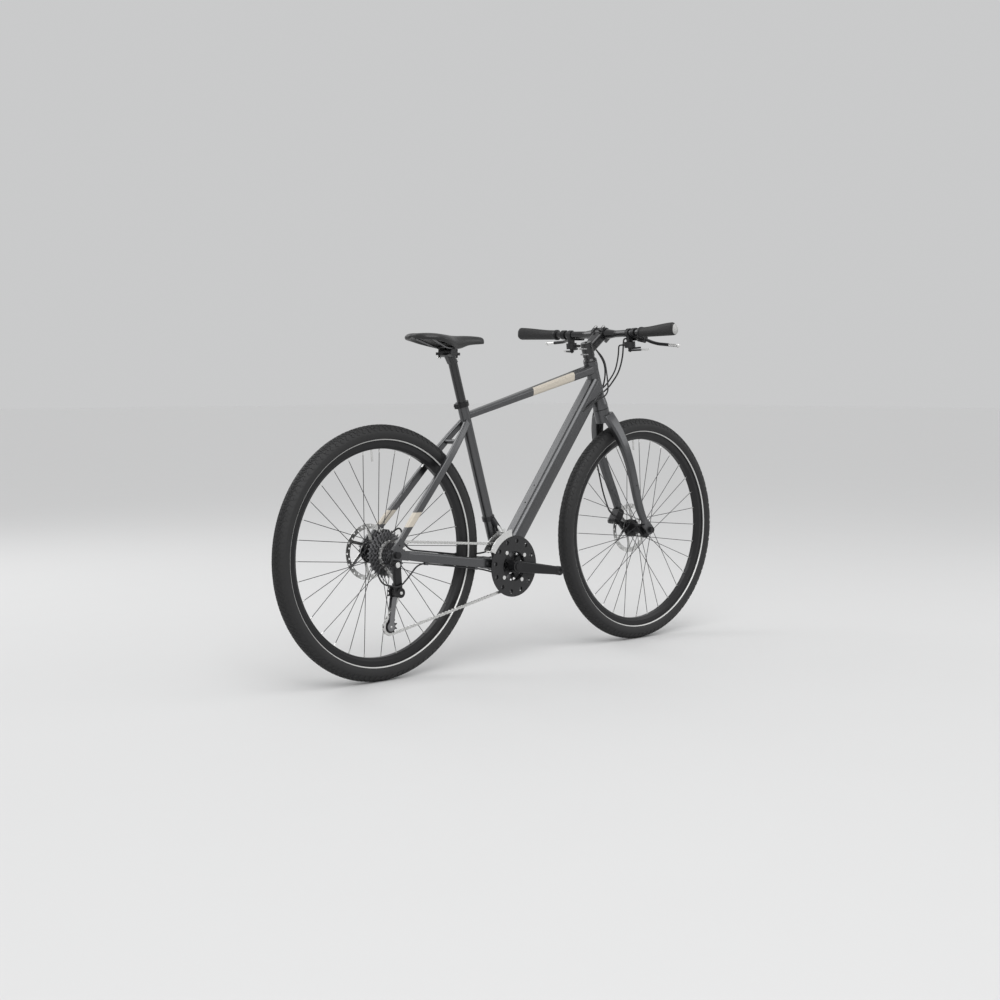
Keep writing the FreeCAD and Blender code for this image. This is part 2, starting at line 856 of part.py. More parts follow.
# Fork: steerer, crown and two straight legs with a shoulder, welded together
crown_top = head_bottom - steer_up * (headset_lip + turning_gap)
stack_start = head_top + steer_up * (headset_lip + turning_gap)
stem_low = stack_start + steer_up * (cover_height + spacer_height)
stem_high = stem_low + steer_up * stem_clamp_height
steerer = rod(crown_top - steer_up * crown_height, stem_high, steerer_radius)
crown = rod(crown_top - steer_up * crown_height, crown_top, crown_radius)
leg_knee = Vector(leg_knee_ahead, 0, tyre_radius + leg_knee_rise)
leg_foot = Vector(leg_foot_ahead, 0, tyre_radius + leg_foot_rise)
leg_along = unit(leg_foot - leg_knee)
leg_tall = across.cross(leg_along) * -1


def leg_point(rise):
    return leg_knee + leg_along * ((leg_knee_rise - rise) / -leg_along.z)


fork = joined(steerer, crown)
for side in both_sides:
    sections = []
    for rise, spread, width, depth in zip(leg_stations, leg_spreads, leg_widths, leg_depths):
        sections.append((leg_point(rise) + across * (side * spread), across, leg_tall, width, depth))
    leg = lofted(sections)
    arm = (unit(leg_foot - front_axle), (leg_foot - front_axle).Length, 2 * dropout_radius, level)
    plate = axle_plate(front_axle, side, front_hub_width, [arm]).removeSplitter()
    bored = without(plate, through(front_axle, side, front_hub_width, axle_radius + seat_play))
    boss_place = leg_point(leg_boss_rise) + across * (side * leg_spreads[3])
    boss_hole = rod(boss_place, boss_place + across * (side * leg_widths[3]), eyelet_radius)
    fork = joined(fork, leg.cut(boss_hole), bored)
web_anchors = [leg_point(rise) for rise in fork_web_rises]
fork = joined(fork, mount_web(front_axle, front_caliper_angle, front_hub_width, web_anchors))
steerer_bore = rod(crown_top - steer_up * (crown_height + cut_overrun), stem_high + steer_up * cut_overrun,
                   steerer_radius - steerer_wall)
fork = without(fork, steerer_bore, caliper_block(front_axle, front_caliper_angle, front_hub_width),
               *mount_bolts(front_axle, front_caliper_angle, front_hub_width),
               *[through(front_axle, side, front_hub_width, axle_radius + seat_play) for side in both_sides])
keep("fork", fork)

# Headset cover, spacer and top cap with its bolt
cover = turned([
    (0, steerer_radius + seat_play), (0, head_top_radius), (cover_skirt_height, head_top_radius),
    (cover_height, cover_top_radius), (cover_height, steerer_radius + seat_play)], stack_start, steer_up)
spacer_base = stack_start + steer_up * cover_height
spacer = rod(spacer_base, stem_low, spacer_radius).cut(rod(spacer_base, stem_low, steerer_radius + seat_play))
cap = rod(stem_high, stem_high + steer_up * cap_height, cap_radius)
cap_bolt_base = stem_high + steer_up * cap_height
cap_bolt = rod(cap_bolt_base, cap_bolt_base + steer_up * cap_bolt_height, cap_bolt_radius)
keep("headset_stack", cover, spacer, cap, cap_bolt)

# Stem with its two-bolt steerer clamp and four-bolt faceplate
stem_centre = stem_low + steer_up * (stem_clamp_height / 2)
stem_along = slanted(stem_rise_angle)
stem_tall = across.cross(stem_along) * -1
bar_centre = stem_centre + stem_along * stem_length
bar_clamp_outer = bar_clamp_radius + bar_clamp_wall
steer_clamp = rod(stem_low, stem_high, stem_clamp_radius)
extension = lofted([
    (stem_centre, across, stem_tall, stem_root_width, stem_root_height),
    (bar_centre - stem_along * (faceplate_gap / 2), across, stem_tall, stem_tip_width, stem_tip_height)])
ears = []
face_bolts = []
for y_sign in (-1, 1):
    for z_sign in (-1, 1):
        place = bar_centre + across * (y_sign * ear_spread / 2) + stem_tall * (z_sign * bar_clamp_outer)
        ears.append(drum(place, stem_along, 2 * ear_length, ear_radius))
        tip = place + stem_along * ear_length
        shank = rod(place - stem_along * ear_length, tip, stem_bolt_radius)
        head = rod(tip, tip + stem_along * stem_bolt_head_length, stem_bolt_head_radius)
        face_bolts.append(joined(shank, head))
clamp_drum = joined(drum(bar_centre, across, bar_clamp_width, bar_clamp_outer), *ears)
bar_bore = drum(bar_centre, across, bar_clamp_width + 2 * cut_overrun, bar_clamp_radius + seat_play)
cut_reach = stem_along * (2 * stem_length)
before_plate = rod(bar_centre - stem_along * (faceplate_gap / 2), bar_centre + cut_reach, stem_length)
behind_plate = rod(bar_centre + stem_along * (faceplate_gap / 2), bar_centre - cut_reach, stem_length)
stem_back = steer_up.cross(across)
rear_bolts = []
for share in rear_bolt_shares:
    height = stem_low + steer_up * (stem_clamp_height * share)
    place = height + stem_back * (stem_clamp_radius - stem_bolt_radius / 2)
    rear_bolts.append(drum(place, across, rear_bolt_length, stem_bolt_radius))
stem = joined(steer_clamp, extension, without(clamp_drum, before_plate))
stem = without(stem, rod(stem_low, stem_high, steerer_radius + seat_play), bar_bore, before_plate,
               cap, spacer, *face_bolts, *rear_bolts)
faceplate = without(clamp_drum, behind_plate, bar_bore, *face_bolts)
keep("stem", stem)
keep("stem_faceplate", faceplate, *face_bolts, *rear_bolts)


# Handlebar: thick in the clamp, tapering, then swept back and slightly up
def bar_point(half, side):
    share = max(0, half - bar_bend_half) / (bar_end_half - bar_bend_half)
    return bar_centre + across * (side * half) - ahead * (bar_sweep * share) + upward * (bar_rise * share)


def bar_along(side):
    return unit(bar_point(bar_end_half, side) - bar_point(bar_bend_half, side))


bar_route = [bar_point(bar_end_half, left_side), bar_point(bar_bend_half, left_side),
             bar_point(bar_bend_half, right_side), bar_point(bar_end_half, right_side)]
bulge = turned([
    (-bar_taper_end, bar_radius), (-bar_bulge_half, bar_clamp_radius), (bar_bulge_half, bar_clamp_radius),
    (bar_taper_end, bar_radius), (bar_taper_end, 0), (-bar_taper_end, 0)], bar_centre, across)
handlebar = bent_rod(bar_route, bar_radius, bar_bend_radius).fuse(bulge)
handlebar = handlebar.cut(bent_rod(bar_route, bar_radius - bar_wall, bar_bend_radius))
keep("handlebar", handlebar)


def bar_sleeve(side, start_half, end_half, outer):
    start = bar_point(start_half, side)
    end = bar_point(end_half, side)
    bore = rod(start - bar_along(side) * cut_overrun, end + bar_along(side) * cut_overrun,
               bar_radius + seat_play)
    return rod(start, end, outer), bore


# Grips: round at the inner end with a clamp ring, spreading into a palm wing towards the outer end
def grip():
    along = bar_along(right_side)
    inner = bar_point(grip_inner_half, right_side)
    outer = bar_point(grip_outer_half, right_side)
    body = rod(inner, outer, grip_radius)
    ring = rod(inner, inner + along * grip_ring_width, grip_ring_radius)
    wing_out = slanted(grip_wing_angle)
    wing_flat = wing_out.cross(across)
    sections = []
    for share, reach_share in zip(grip_wing_shares, grip_wing_reach_shares):
        place = inner + (outer - inner) * share
        width = grip_radius + grip_wing_reach * reach_share
        sections.append((place + wing_out * (width / 2), wing_out, wing_flat, width, grip_wing_thickness))
    shape = joined(body, ring, lofted(sections))
    bar_stop = bar_point(bar_end_half, right_side)
    bore = rod(inner - along * cut_overrun, bar_stop, bar_radius + seat_play)
    plug = rod(outer, outer + along * grip_plug_length, bar_radius)
    return shape.cut(bore), plug.cut(shape)


for word in ("right", "left"):
    keep(f"{word}_grip", *[handed(word, shape) for shape in grip()])


# Brake controls: a bar clamp carries a master cylinder with a reservoir and two cheeks for the lever's pin
def control_point(half, reach, side, slope):
    return bar_point(half, side) + slanted(-slope) * reach


def brake_control(slope):
    lever_out = slanted(-slope)
    lever_axis = slanted(90 - slope)
    along = bar_along(right_side)
    low = brake_clamp_half - brake_clamp_width / 2
    high = brake_clamp_half + brake_clamp_width / 2
    band, bore = bar_sleeve(right_side, low, high, bar_radius + brake_clamp_wall)
    cylinder_start = control_point(master_inner_half, master_reach, right_side, slope)
    cylinder_end = control_point(master_outer_half, master_reach, right_side, slope)
    cylinder = rod(cylinder_start, cylinder_end, master_radius)
    neck = lofted([
        (bar_point(brake_clamp_half, right_side), along, lever_axis, brake_clamp_width, 2 * bar_radius),
        (control_point(brake_clamp_half, master_reach, right_side, slope), along, lever_axis,
         brake_clamp_width, 2 * master_radius)])
    tank_centre = (cylinder_start + cylinder_end) * 0.5 + lever_axis * (reservoir_height / 2)
    tank_half = along * (reservoir_length / 2)
    tank = lofted([(tank_centre + tank_half * sign, lever_out, lever_axis, reservoir_width, reservoir_height)
                   for sign in (-1, 1)])
    pivot = control_point(lever_pivot_half, lever_pivot_reach, right_side, slope)
    cheeks = []
    cheek_height = lever_eye_thickness / 2 + turning_gap + fork_cheek_thickness / 2
    for sign in (-1, 1):
        shift = lever_axis * (sign * cheek_height)
        eye = drum(pivot + shift, lever_axis, fork_cheek_thickness, lever_eye_radius)
        root = control_point(master_outer_half - fork_cheek_length, master_reach, right_side, slope) + shift
        aside = unit(pivot + shift - root).cross(lever_axis)
        web = lofted([(root, aside, lever_axis, 2 * lever_eye_radius, fork_cheek_thickness),
                      (pivot + shift, aside, lever_axis, 2 * lever_eye_radius, fork_cheek_thickness)])
        cheeks += [eye, web]
    pin = drum(pivot, lever_axis, 2 * cheek_height + fork_cheek_thickness, lever_pivot_radius)
    body = joined(band, cylinder, neck, tank, *cheeks)
    eye_room = drum(pivot, lever_axis, lever_eye_thickness + 2 * turning_gap, lever_eye_radius + lever_radius)
    return joined(without(body, bore, eye_room), pin)


def brake_lever(slope):
    lever_axis = slanted(90 - slope)
    pivot = control_point(lever_pivot_half, lever_pivot_reach, right_side, slope)
    knee = control_point(lever_knee_half, lever_knee_reach, right_side, slope)
    tip = control_point(lever_tip_half, lever_tip_reach, right_side, slope)
    blade = bent_rod([pivot, knee, tip], lever_radius)
    eye = drum(pivot, lever_axis, lever_eye_thickness, lever_eye_radius)
    shape = joined(eye, blade, Part.makeSphere(lever_tip_radius, tip))
    room_radius = lever_eye_radius + lever_radius
    room = drum(pivot, lever_axis, lever_eye_thickness, room_radius)
    tall_part = drum(pivot, lever_axis, 2 * room_radius, room_radius)
    pin_bore = drum(pivot, lever_axis, 2 * lever_eye_thickness, lever_pivot_radius + running_fit)
    return without(shape, tall_part.cut(room), pin_bore)


for word, slope in (("right", right_lever_slope), ("left", left_lever_slope)):
    keep(f"{word}_brake_control", handed(word, brake_control(slope)))
    keep(f"{word}_brake_lever", handed(word, brake_lever(slope)))

# Shifters: a housing hangs under the bar; two levers turn on its pin, one above the other
shift_down = slanted(-shifter_slope)
shift_front = slanted(90 - shifter_slope)


def shift_point(reach, side):
    return bar_point(shifter_clamp_half, side) + shift_down * reach


def barrel_end(side):
    return shift_point(shifter_reach, side) - bar_along(side) * barrel_reach


def shifter():
    along = bar_along(right_side)
    low = shifter_clamp_half - shifter_clamp_width / 2
    high = shifter_clamp_half + shifter_clamp_width / 2
    band, bore = bar_sleeve(right_side, low, high, bar_radius + shifter_clamp_wall)
    housing = drum(shift_point(shifter_reach, right_side), shift_down, shifter_height, shifter_radius)
    neck = lofted([
        (shift_point(0, right_side), along, shift_front, shifter_clamp_width, 2 * bar_radius),
        (shift_point(shifter_reach, right_side), along, shift_front, shifter_clamp_width, 2 * bar_radius)])
    barrel = rod(shift_point(shifter_reach, right_side), barrel_end(right_side), barrel_adjuster_radius)
    pin_start = shift_point(shifter_reach + shifter_height / 2, right_side)
    pin = rod(pin_start, pin_start + shift_down * shift_pin_length, shift_pin_radius)
    return joined(without(joined(band, housing, neck, barrel), bore), pin)


def shift_lever(layer, length, angle):
    depth = shifter_reach + shifter_height / 2 + lever_layer_gap + layer * (thumb_thickness + lever_layer_gap)
    base = shift_point(depth, right_side)
    turn = math.radians(angle)
    along = across * (right_side * math.cos(turn)) - shift_front * math.sin(turn)
    aside = along.cross(shift_down) * (thumb_width / 2)
    tip = base + along * length
    thick = shift_down * thumb_thickness
    blade = flat([base - aside, tip - aside, tip + aside, base + aside], thick)
    bore = rod(base - shift_down * cut_overrun, base + thick + shift_down * cut_overrun,
               shift_pin_radius + running_fit)
    ends = [rod(place, place + thick, thumb_width / 2) for place in (base, tip)]
    return joined(blade, *ends).cut(bore)


for word in ("right", "left"):
    keep(f"{word}_shifter", handed(word, shifter()))
    keep(f"{word}_thumb_lever", handed(word, shift_lever(1, thumb_length, thumb_angle)))
    keep(f"{word}_release_lever", handed(word, shift_lever(0, release_length, release_angle)))

# Wheels
rim_half = rim_width / 2
rim_bead_half = rim_half - rim_wall
rim_bed_radius = bead_seat_radius - rim_well_depth
tube_centre_radius = tyre_radius - tyre_width / 2


def rim(axle, first_angle, valve_angle):
    half_inner = rim_inner_width / 2
    flange_top = bead_seat_radius + rim_flange_height
    body = turned([
        (-rim_half, flange_top), (-rim_bead_half, flange_top),
        (-rim_bead_half, bead_seat_radius), (-half_inner, bead_seat_radius), (-half_inner, rim_bed_radius),
        (half_inner, rim_bed_radius), (half_inner, bead_seat_radius), (rim_bead_half, bead_seat_radius),
        (rim_bead_half, flange_top), (rim_half, flange_top),
        (rim_half, rim_shoulder_radius), (half_inner, rim_inner_radius), (-half_inner, rim_inner_radius),
        (-rim_half, rim_shoulder_radius)], axle, across)
    cavity = turned([
        (-half_inner, rim_inner_radius + rim_wall), (half_inner, rim_inner_radius + rim_wall),
        (rim_bead_half - rim_wall, rim_shoulder_radius), (half_inner, rim_bed_radius - rim_wall),
        (-half_inner, rim_bed_radius - rim_wall),
        (rim_wall - rim_bead_half, rim_shoulder_radius)], axle, across)
    holes = []
    for number in range(spoke_count):
        angle = first_angle + number * 360 / spoke_count
        holes.append(rod(polar(axle, angle, rim_inner_radius - cut_overrun, 0),
                         polar(axle, angle, rim_inner_radius + cut_overrun, 0), nipple_hole_radius))
    holes.append(rod(polar(axle, valve_angle, rim_inner_radius - cut_overrun, 0),
                     polar(axle, valve_angle, bead_seat_radius + cut_overrun, 0), valve_hole_radius))
    return without(body.cut(cavity), *holes)


def tyre(axle):
    radius = tyre_width / 2
    inner = radius - tyre_wall
    lip = rim_bead_half - seat_play
    lip_inner = lip - tyre_wall
    shelf = bead_seat_radius + rim_flange_height + seat_play
    shelf_half = math.sqrt(radius ** 2 - (tube_centre_radius - shelf) ** 2)
    inner_foot = tube_centre_radius - math.sqrt(inner ** 2 - lip_inner ** 2)
    foot = bead_seat_radius + seat_play

    def place(offset, distance):
        return polar(axle, 90, distance, offset)

    edges = [
        Part.Arc(place(-shelf_half, shelf), place(0, tyre_radius), place(shelf_half, shelf)).toShape(),
        Part.LineSegment(place(shelf_half, shelf), place(lip, shelf)).toShape(),
        Part.LineSegment(place(lip, shelf), place(lip, foot)).toShape(),
        Part.LineSegment(place(lip, foot), place(lip_inner, foot)).toShape(),
        Part.LineSegment(place(lip_inner, foot), place(lip_inner, inner_foot)).toShape(),
        Part.Arc(place(lip_inner, inner_foot), place(0, tube_centre_radius + inner),
                 place(-lip_inner, inner_foot)).toShape(),
        Part.LineSegment(place(-lip_inner, inner_foot), place(-lip_inner, foot)).toShape(),
        Part.LineSegment(place(-lip_inner, foot), place(-lip, foot)).toShape(),
        Part.LineSegment(place(-lip, foot), place(-lip, shelf)).toShape(),
        Part.LineSegment(place(-lip, shelf), place(-shelf_half, shelf)).toShape()]
    return Part.Face(Part.Wire(edges)).revolve(axle, across, 360)


def inner_tube(axle, valve_angle):
    radius = tyre_width / 2 - tyre_wall - tube_gap
    outer = Part.makeTorus(tube_centre_radius, radius, axle, across)
    inner = Part.makeTorus(tube_centre_radius, radius - tube_wall, axle, across)
    end = polar(axle, valve_angle, rim_inner_radius - valve_length, 0)
    stem_start = polar(axle, valve_angle, tube_centre_radius, 0)
    shape = outer.fuse(rod(end, stem_start, valve_radius)).cut(inner)
    return shape.cut(rod(end, stem_start, valve_bore_radius))


def spokes(axle, first_angle, flange_right, flange_left):
    solids = []
    for number in range(spoke_count):
        angle = first_angle + number * 360 / spoke_count
        side = right_side if number % 2 == 0 else left_side
        flange = flange_right if side == right_side else flange_left
        trailing = (number // 2) % 2 == 0
        lead = spoke_crosses * 720 / spoke_count
        hub_angle = angle + (lead if trailing else -lead)
        face = 1 if trailing else -1
        rest = hub_flange_thickness / 2 + spoke_radius + spoke_gap
        head = polar(axle, hub_angle, spoke_circle_radius, side * (flange - face * spoke_head_reach))
        elbow = polar(axle, hub_angle, spoke_circle_radius, side * (flange + face * rest))
        seat = polar(axle, angle, rim_inner_radius + rim_wall + spoke_gap, 0)
        along = unit(seat - elbow)
        solids.append(bent_rod([head, elbow, seat - along * nipple_length], spoke_radius, spoke_bend_radius))
        shank = rod(seat - along * nipple_length, seat, nipple_radius)
        solids.append(joined(shank, rod(seat, seat + along * nipple_head_length, nipple_head_radius)))
    return solids


def hub(axle, first_angle, right_end, flange_right, flange_left, rotor_face):
    thick = hub_flange_thickness / 2
    shell_shape = turned([
        (-right_end, hub_bore_radius), (-right_end, hub_barrel_radius + hub_flange_thickness),
        (-flange_right - thick, hub_barrel_radius + hub_flange_thickness),
        (-flange_right - thick, hub_flange_radius),
        (-flange_right + thick, hub_flange_radius), (-flange_right + thick, hub_barrel_radius),
        (flange_left - thick, hub_barrel_radius), (flange_left - thick, hub_flange_radius),
        (flange_left + thick, hub_flange_radius),
        (flange_left + thick, hub_barrel_radius + hub_flange_thickness),
        (rotor_face - hub_flange_thickness, hub_barrel_radius + hub_flange_thickness),
        (rotor_face - hub_flange_thickness, rotor_hub_radius), (rotor_face, rotor_hub_radius),
        (rotor_face, hub_bore_radius)], axle, across)
    holes = []
    for number in range(spoke_count):
        side = right_side if number % 2 == 0 else left_side
        flange = flange_right if side == right_side else flange_left
        lead = spoke_crosses * 720 / spoke_count
        trailing = (number // 2) % 2 == 0
        angle = first_angle + number * 360 / spoke_count + (lead if trailing else -lead)
        holes.append(drum(polar(axle, angle, spoke_circle_radius, side * flange), across,
                          2 * hub_flange_thickness, spoke_hole_radius))
    for number in range(rotor_arms):
        angle = number * 360 / rotor_arms
        holes.append(drum(polar(axle, angle, rotor_bolt_circle, rotor_face), across, 4 * hub_flange_thickness,
                          rotor_bolt_radius))
    bearings = []
    for place in (-right_end + bearing_width / 2, rotor_face - bearing_width / 2):
        bearings.append(washer(axle + across * place, bearing_width, hub_bore_radius,
                               axle_radius + running_fit))
    return [without(shell_shape, *holes)] + bearings


def rotor(axle, offset):
    centre = axle + across * offset
    band = washer(centre, rotor_thickness, rotor_radius, rotor_radius - rotor_band)
    core = washer(centre, rotor_thickness, rotor_hub_radius, rotor_bore_radius)
    arms = []
    bolts = []
    cuts = []
    arm_out = rotor_radius - rotor_band / 2
    arm_in = rotor_hub_radius - rotor_arm_width / 2
    for number in range(rotor_arms):
        angle = number * 360 / rotor_arms
        start = polar(axle, angle, arm_in, offset - rotor_thickness / 2)
        end = polar(axle, angle + rotor_arm_lean, arm_out, offset - rotor_thickness / 2)
        aside = unit(end - start).cross(across) * (rotor_arm_width / 2)
        arms.append(flat([start - aside, end - aside, end + aside, start + aside], across * rotor_thickness))
        bolt_place = polar(axle, angle, rotor_bolt_circle, offset)
        shank_end = bolt_place - across * (2 * hub_flange_thickness)
        head_start = bolt_place + across * (rotor_thickness / 2)
        shank = rod(shank_end, head_start, rotor_bolt_radius)
        head = rod(head_start, head_start + across * rotor_bolt_head_length, rotor_bolt_head_radius)
        bolts.append(joined(shank, head))
        cuts.append(drum(bolt_place, across, 2 * rotor_thickness, rotor_bolt_radius))
    for number in range(rotor_holes):
        angle = number * 360 / rotor_holes
        swing = rotor_hole_swing if number % 2 else -rotor_hole_swing
        cuts.append(drum(polar(axle, angle, rotor_radius - rotor_band / 2 + swing, offset), across,
                         2 * rotor_thickness, rotor_hole_radius))
    return [without(joined(band, core, *arms), *cuts)] + bolts


def axle_set(axle, hub_width, right_end, left_end):
    inner = hub_width / 2
    outer = inner + dropout_thickness
    shaft = rod(axle - across * outer, axle + across * outer, axle_radius)
    for side in both_sides:
        face = axle + across * (side * outer)
        shaft = shaft.fuse(rod(face, face + across * (side * axle_head_length), axle_head_radius))
    collars = []
    for side, end in zip(both_sides, (right_end, left_end)):
        start = axle + across * (side * (end + turning_gap))
        stop = axle + across * (side * inner)
        collars.append(rod(start, stop, axle_collar_radius).cut(rod(start, stop, axle_radius + seat_play)))
    return [shaft.removeSplitter()] + collars


front_rotor_offset = front_hub_width / 2 - rotor_inset
rear_rotor_offset = rear_hub_width / 2 - rotor_inset
front_right_end = front_flange_right + hub_side_length
rear_right_end = rear_flange_right + hub_flange_thickness
front_valve_angle = front_first_spoke + 180 / spoke_count
rear_valve_angle = rear_first_spoke + 180 / spoke_count
wheel_table = (
    ("front", front_axle, front_first_spoke, front_valve_angle, front_flange_right, front_flange_left,
     front_right_end, front_rotor_offset),
    ("rear", rear_axle, rear_first_spoke, rear_valve_angle, rear_flange_right, rear_flange_left,
     rear_right_end, rear_rotor_offset))
for word, axle, first, valve, flange_right, flange_left, right_end, rotor_offset in wheel_table:
    keep(f"{word}_tyre", tyre(axle))
    keep(f"{word}_inner_tube", inner_tube(axle, valve))
    keep(f"{word}_rim", rim(axle, first, valve))
    keep(f"{word}_spokes", *spokes(axle, first, flange_right, flange_left))
    rotor_face = rotor_offset - rotor_thickness / 2
    keep(f"{word}_hub", *hub(axle, first, right_end, flange_right, flange_left, rotor_face))
    keep(f"{word}_brake_rotor", *rotor(axle, rotor_offset))


# Brake calipers straddle the rotors, with a pad on each face of the disc and two bolts into the mount
def caliper(axle, angle, hub_width):
    out = slanted(angle)
    along = out.cross(across)
    offset = hub_width / 2 - rotor_inset
    pad_centre = polar(axle, angle, rotor_radius - rotor_band / 2, offset)
    pads = []
    for sign in (-1, 1):
        near = pad_centre + across * (sign * (rotor_thickness / 2 + pad_gap))
        far = near + across * (sign * pad_thickness)
        pads.append(lofted([(place, along, out, pad_length, pad_height) for place in (near, far)]))
    slot_half = rotor_thickness / 2 + pad_gap + pad_thickness
    slot = washer(axle + across * offset, 2 * slot_half, rotor_radius + caliper_roof / 2, rotor_bore_radius)
    bolts = mount_bolts(axle, angle, hub_width)
    return [without(caliper_block(axle, angle, hub_width), slot, *bolts)] + pads + bolts


keep("front_brake_caliper", *caliper(front_axle, front_caliper_angle, front_hub_width))
keep("rear_brake_caliper", *caliper(rear_axle, rear_caliper_angle, rear_hub_width))

# Axles, fixed in the fork and in the rear dropouts
freehub_end = rear_hub_width / 2 - freehub_end_gap
front_left_end = front_rotor_offset - rotor_thickness / 2
rear_left_end = rear_rotor_offset - rotor_thickness / 2
keep("front_axle", *axle_set(front_axle, front_hub_width, front_right_end, front_left_end))
keep("rear_axle", *axle_set(rear_axle, rear_hub_width, freehub_end, rear_left_end))


# Toothed wheels for the roller chain
def pitch_radius(teeth):
    return chain_pitch / (2 * math.sin(math.pi / teeth))


def toothed(centre, offset, teeth, phase, bore, thickness):
    radius = pitch_radius(teeth)
    step = 360 / teeth
    level = offset - thickness / 2
    edges = []
    corners = []
    for number in range(teeth):
        angle = phase + number * step
        seat = polar(centre, angle, radius, level)
        out = slanted(angle)
        aside = slanted(angle + 90)
        low = seat - out * tooth_valley_radius
        start = seat - aside * tooth_valley_radius
        end = seat + aside * tooth_valley_radius
        tip = polar(centre, angle + step / 2, radius + tooth_height, level)
        tip_aside = slanted(angle + step / 2 + 90) * (tooth_tip / 2)
        edges.append(Part.Arc(start, low, end).toShape())
        corners.append((start, end, tip - tip_aside, tip + tip_aside))
    outline = []
    for number in range(teeth):
        start, end, tip_first, tip_last = corners[number]
        following = corners[(number + 1) % teeth][0]
        outline.append(edges[number])
        outline.append(Part.LineSegment(end, tip_first).toShape())
        outline.append(Part.LineSegment(tip_first, tip_last).toShape())
        outline.append(Part.LineSegment(tip_last, following).toShape())
    disc = Part.Face(Part.Wire(outline)).extrude(across * thickness)
    return disc.cut(drum(Vector(centre.x, offset, centre.z), across, 2 * thickness, bore))


# The chain's loop: tangent runs between the middle ring, two pulleys and the running sprocket
guide_centre = rear_axle + ahead * guide_ahead - upward * guide_drop
tension_centre = rear_axle - ahead * tension_behind - upward * tension_drop
loop_wheels = [
    (bracket, middle_teeth, 1), (tension_centre, pulley_teeth, 1),
    (guide_centre, pulley_teeth, -1), (rear_axle, sprocket_teeth[running_sprocket], 1)]


def heading(first, second):
    run = second[0] - first[0]
    offset = first[2] * pitch_radius(first[1]) - second[2] * pitch_radius(second[1])
    return math.degrees(math.atan2(run.z, run.x) - math.asin(offset / run.Length))


headings = []
for number, wheel in enumerate(loop_wheels):
    headings.append(heading(wheel, loop_wheels[(number + 1) % len(loop_wheels)]))

stretches = []
for number, (centre, teeth, sense) in enumerate(loop_wheels):
    arriving = headings[number - 1]
    leaving = headings[number]
    turn = (arriving - leaving) % 360 if sense > 0 else (leaving - arriving) % 360
    stretches.append(("arc", number, arriving + sense * 90, turn * teeth / 360))
    following_centre, following_teeth, following_sense = loop_wheels[(number + 1) % len(loop_wheels)]
    start = centre + slanted(leaving + sense * 90) * pitch_radius(teeth)
    end = following_centre + slanted(leaving + following_sense * 90) * pitch_radius(following_teeth)
    stretches.append(("run", start, end, (end - start).Length / chain_pitch))

arc_steps = sum(stretch[3] for stretch in stretches if stretch[0] == "arc")
run_steps = sum(stretch[3] for stretch in stretches if stretch[0] == "run")
link_count = 2 * round((arc_steps + run_steps) / 2)
run_scale = (link_count - arc_steps) / run_steps


def roller_place(step):
    for kind, first, second, steps in stretches:
        steps = steps * run_scale if kind == "run" else steps
        if step <= steps:
            if kind == "run":
                return first + (second - first) * (step / steps)
            centre, teeth, sense = loop_wheels[first]
            return centre + slanted(second - sense * step * 360 / teeth) * pitch_radius(teeth)
        step = step - steps
    return roller_place(step)


def wheel_phase(number):
    passed = 0
    for kind, first, second, steps in stretches:
        if kind == "arc" and first == number:
            centre, teeth, sense = loop_wheels[first]
            return second - sense * (math.ceil(passed) - passed) * 360 / teeth
        passed = passed + (steps * run_scale if kind == "run" else steps)
    return 0


def link_plate(level):
    half = ahead * (chain_pitch / 2)
    shapes = []
    for sign in (-1, 1):
        base = half * sign + across * level
        shapes.append(rod(base, base + across * chain_plate_thickness, chain_plate_radius))
    points = [across * level - half - upward * chain_waist, across * level + half - upward * chain_waist,
              across * level + half + upward * chain_waist, across * level - half + upward * chain_waist]
    return joined(flat(points, across * chain_plate_thickness), *shapes)


inner_level = roller_width / 2
outer_level = inner_level + chain_plate_thickness + chain_layer_gap
outer_end = outer_level + chain_plate_thickness
inner_parts = [link_plate(inner_level), link_plate(-inner_level - chain_plate_thickness)]
outer_parts = [link_plate(outer_level), link_plate(-outer_level - chain_plate_thickness)]
pin_cuts = []
for sign in (-1, 1):
    place = ahead * (sign * chain_pitch / 2)
    inner_parts.append(drum(place, across, 2 * inner_level, roller_radius))
    outer_parts.append(drum(place, across, 2 * outer_end, chain_pin_radius))
    pin_cuts.append(drum(place, across, 4 * outer_end, chain_pin_radius + chain_pin_play))
inner_link = without(joined(*inner_parts), *pin_cuts)
outer_link = joined(*outer_parts)
links = []
for number in range(link_count):
    first = roller_place(number)
    second = roller_place((number + 1) % link_count)
    link = (inner_link if number % 2 == 0 else outer_link).copy()
    run = second - first
    middle = (first + second) * 0.5 - across * chain_line
    slope = math.degrees(math.atan2(run.z, run.x))
    link.Placement = FreeCAD.Placement(middle, FreeCAD.Rotation(across * -1, slope))
    links.append(link)
keep("chain", *links)

# Cassette on its freehub body
sprockets = []
for number, teeth in enumerate(sprocket_teeth):
    offset = -chain_line + (running_sprocket - number) * sprocket_pitch
    phase = wheel_phase(3) if number == running_sprocket else 0
    sprockets.append(toothed(rear_axle, offset, teeth, phase, freehub_radius + seat_play, tooth_thickness))
spacers = []
for number in range(len(sprocket_teeth) - 1):
    offset = -chain_line + (running_sprocket - number) * sprocket_pitch - sprocket_pitch / 2
    spacers.append(washer(rear_axle + across * offset, sprocket_pitch - tooth_thickness,
                          cassette_spacer_radius, freehub_radius + seat_play))
last_offset = -chain_line + (running_sprocket - len(sprocket_teeth) + 1) * sprocket_pitch
freehub_start = -rear_right_end - turning_gap
freehub = turned([
    (freehub_start, freehub_bore_radius), (freehub_start, freehub_radius),
    (last_offset - tooth_thickness / 2, freehub_radius),
    (last_offset - tooth_thickness / 2, freehub_bore_radius)], rear_axle, across)
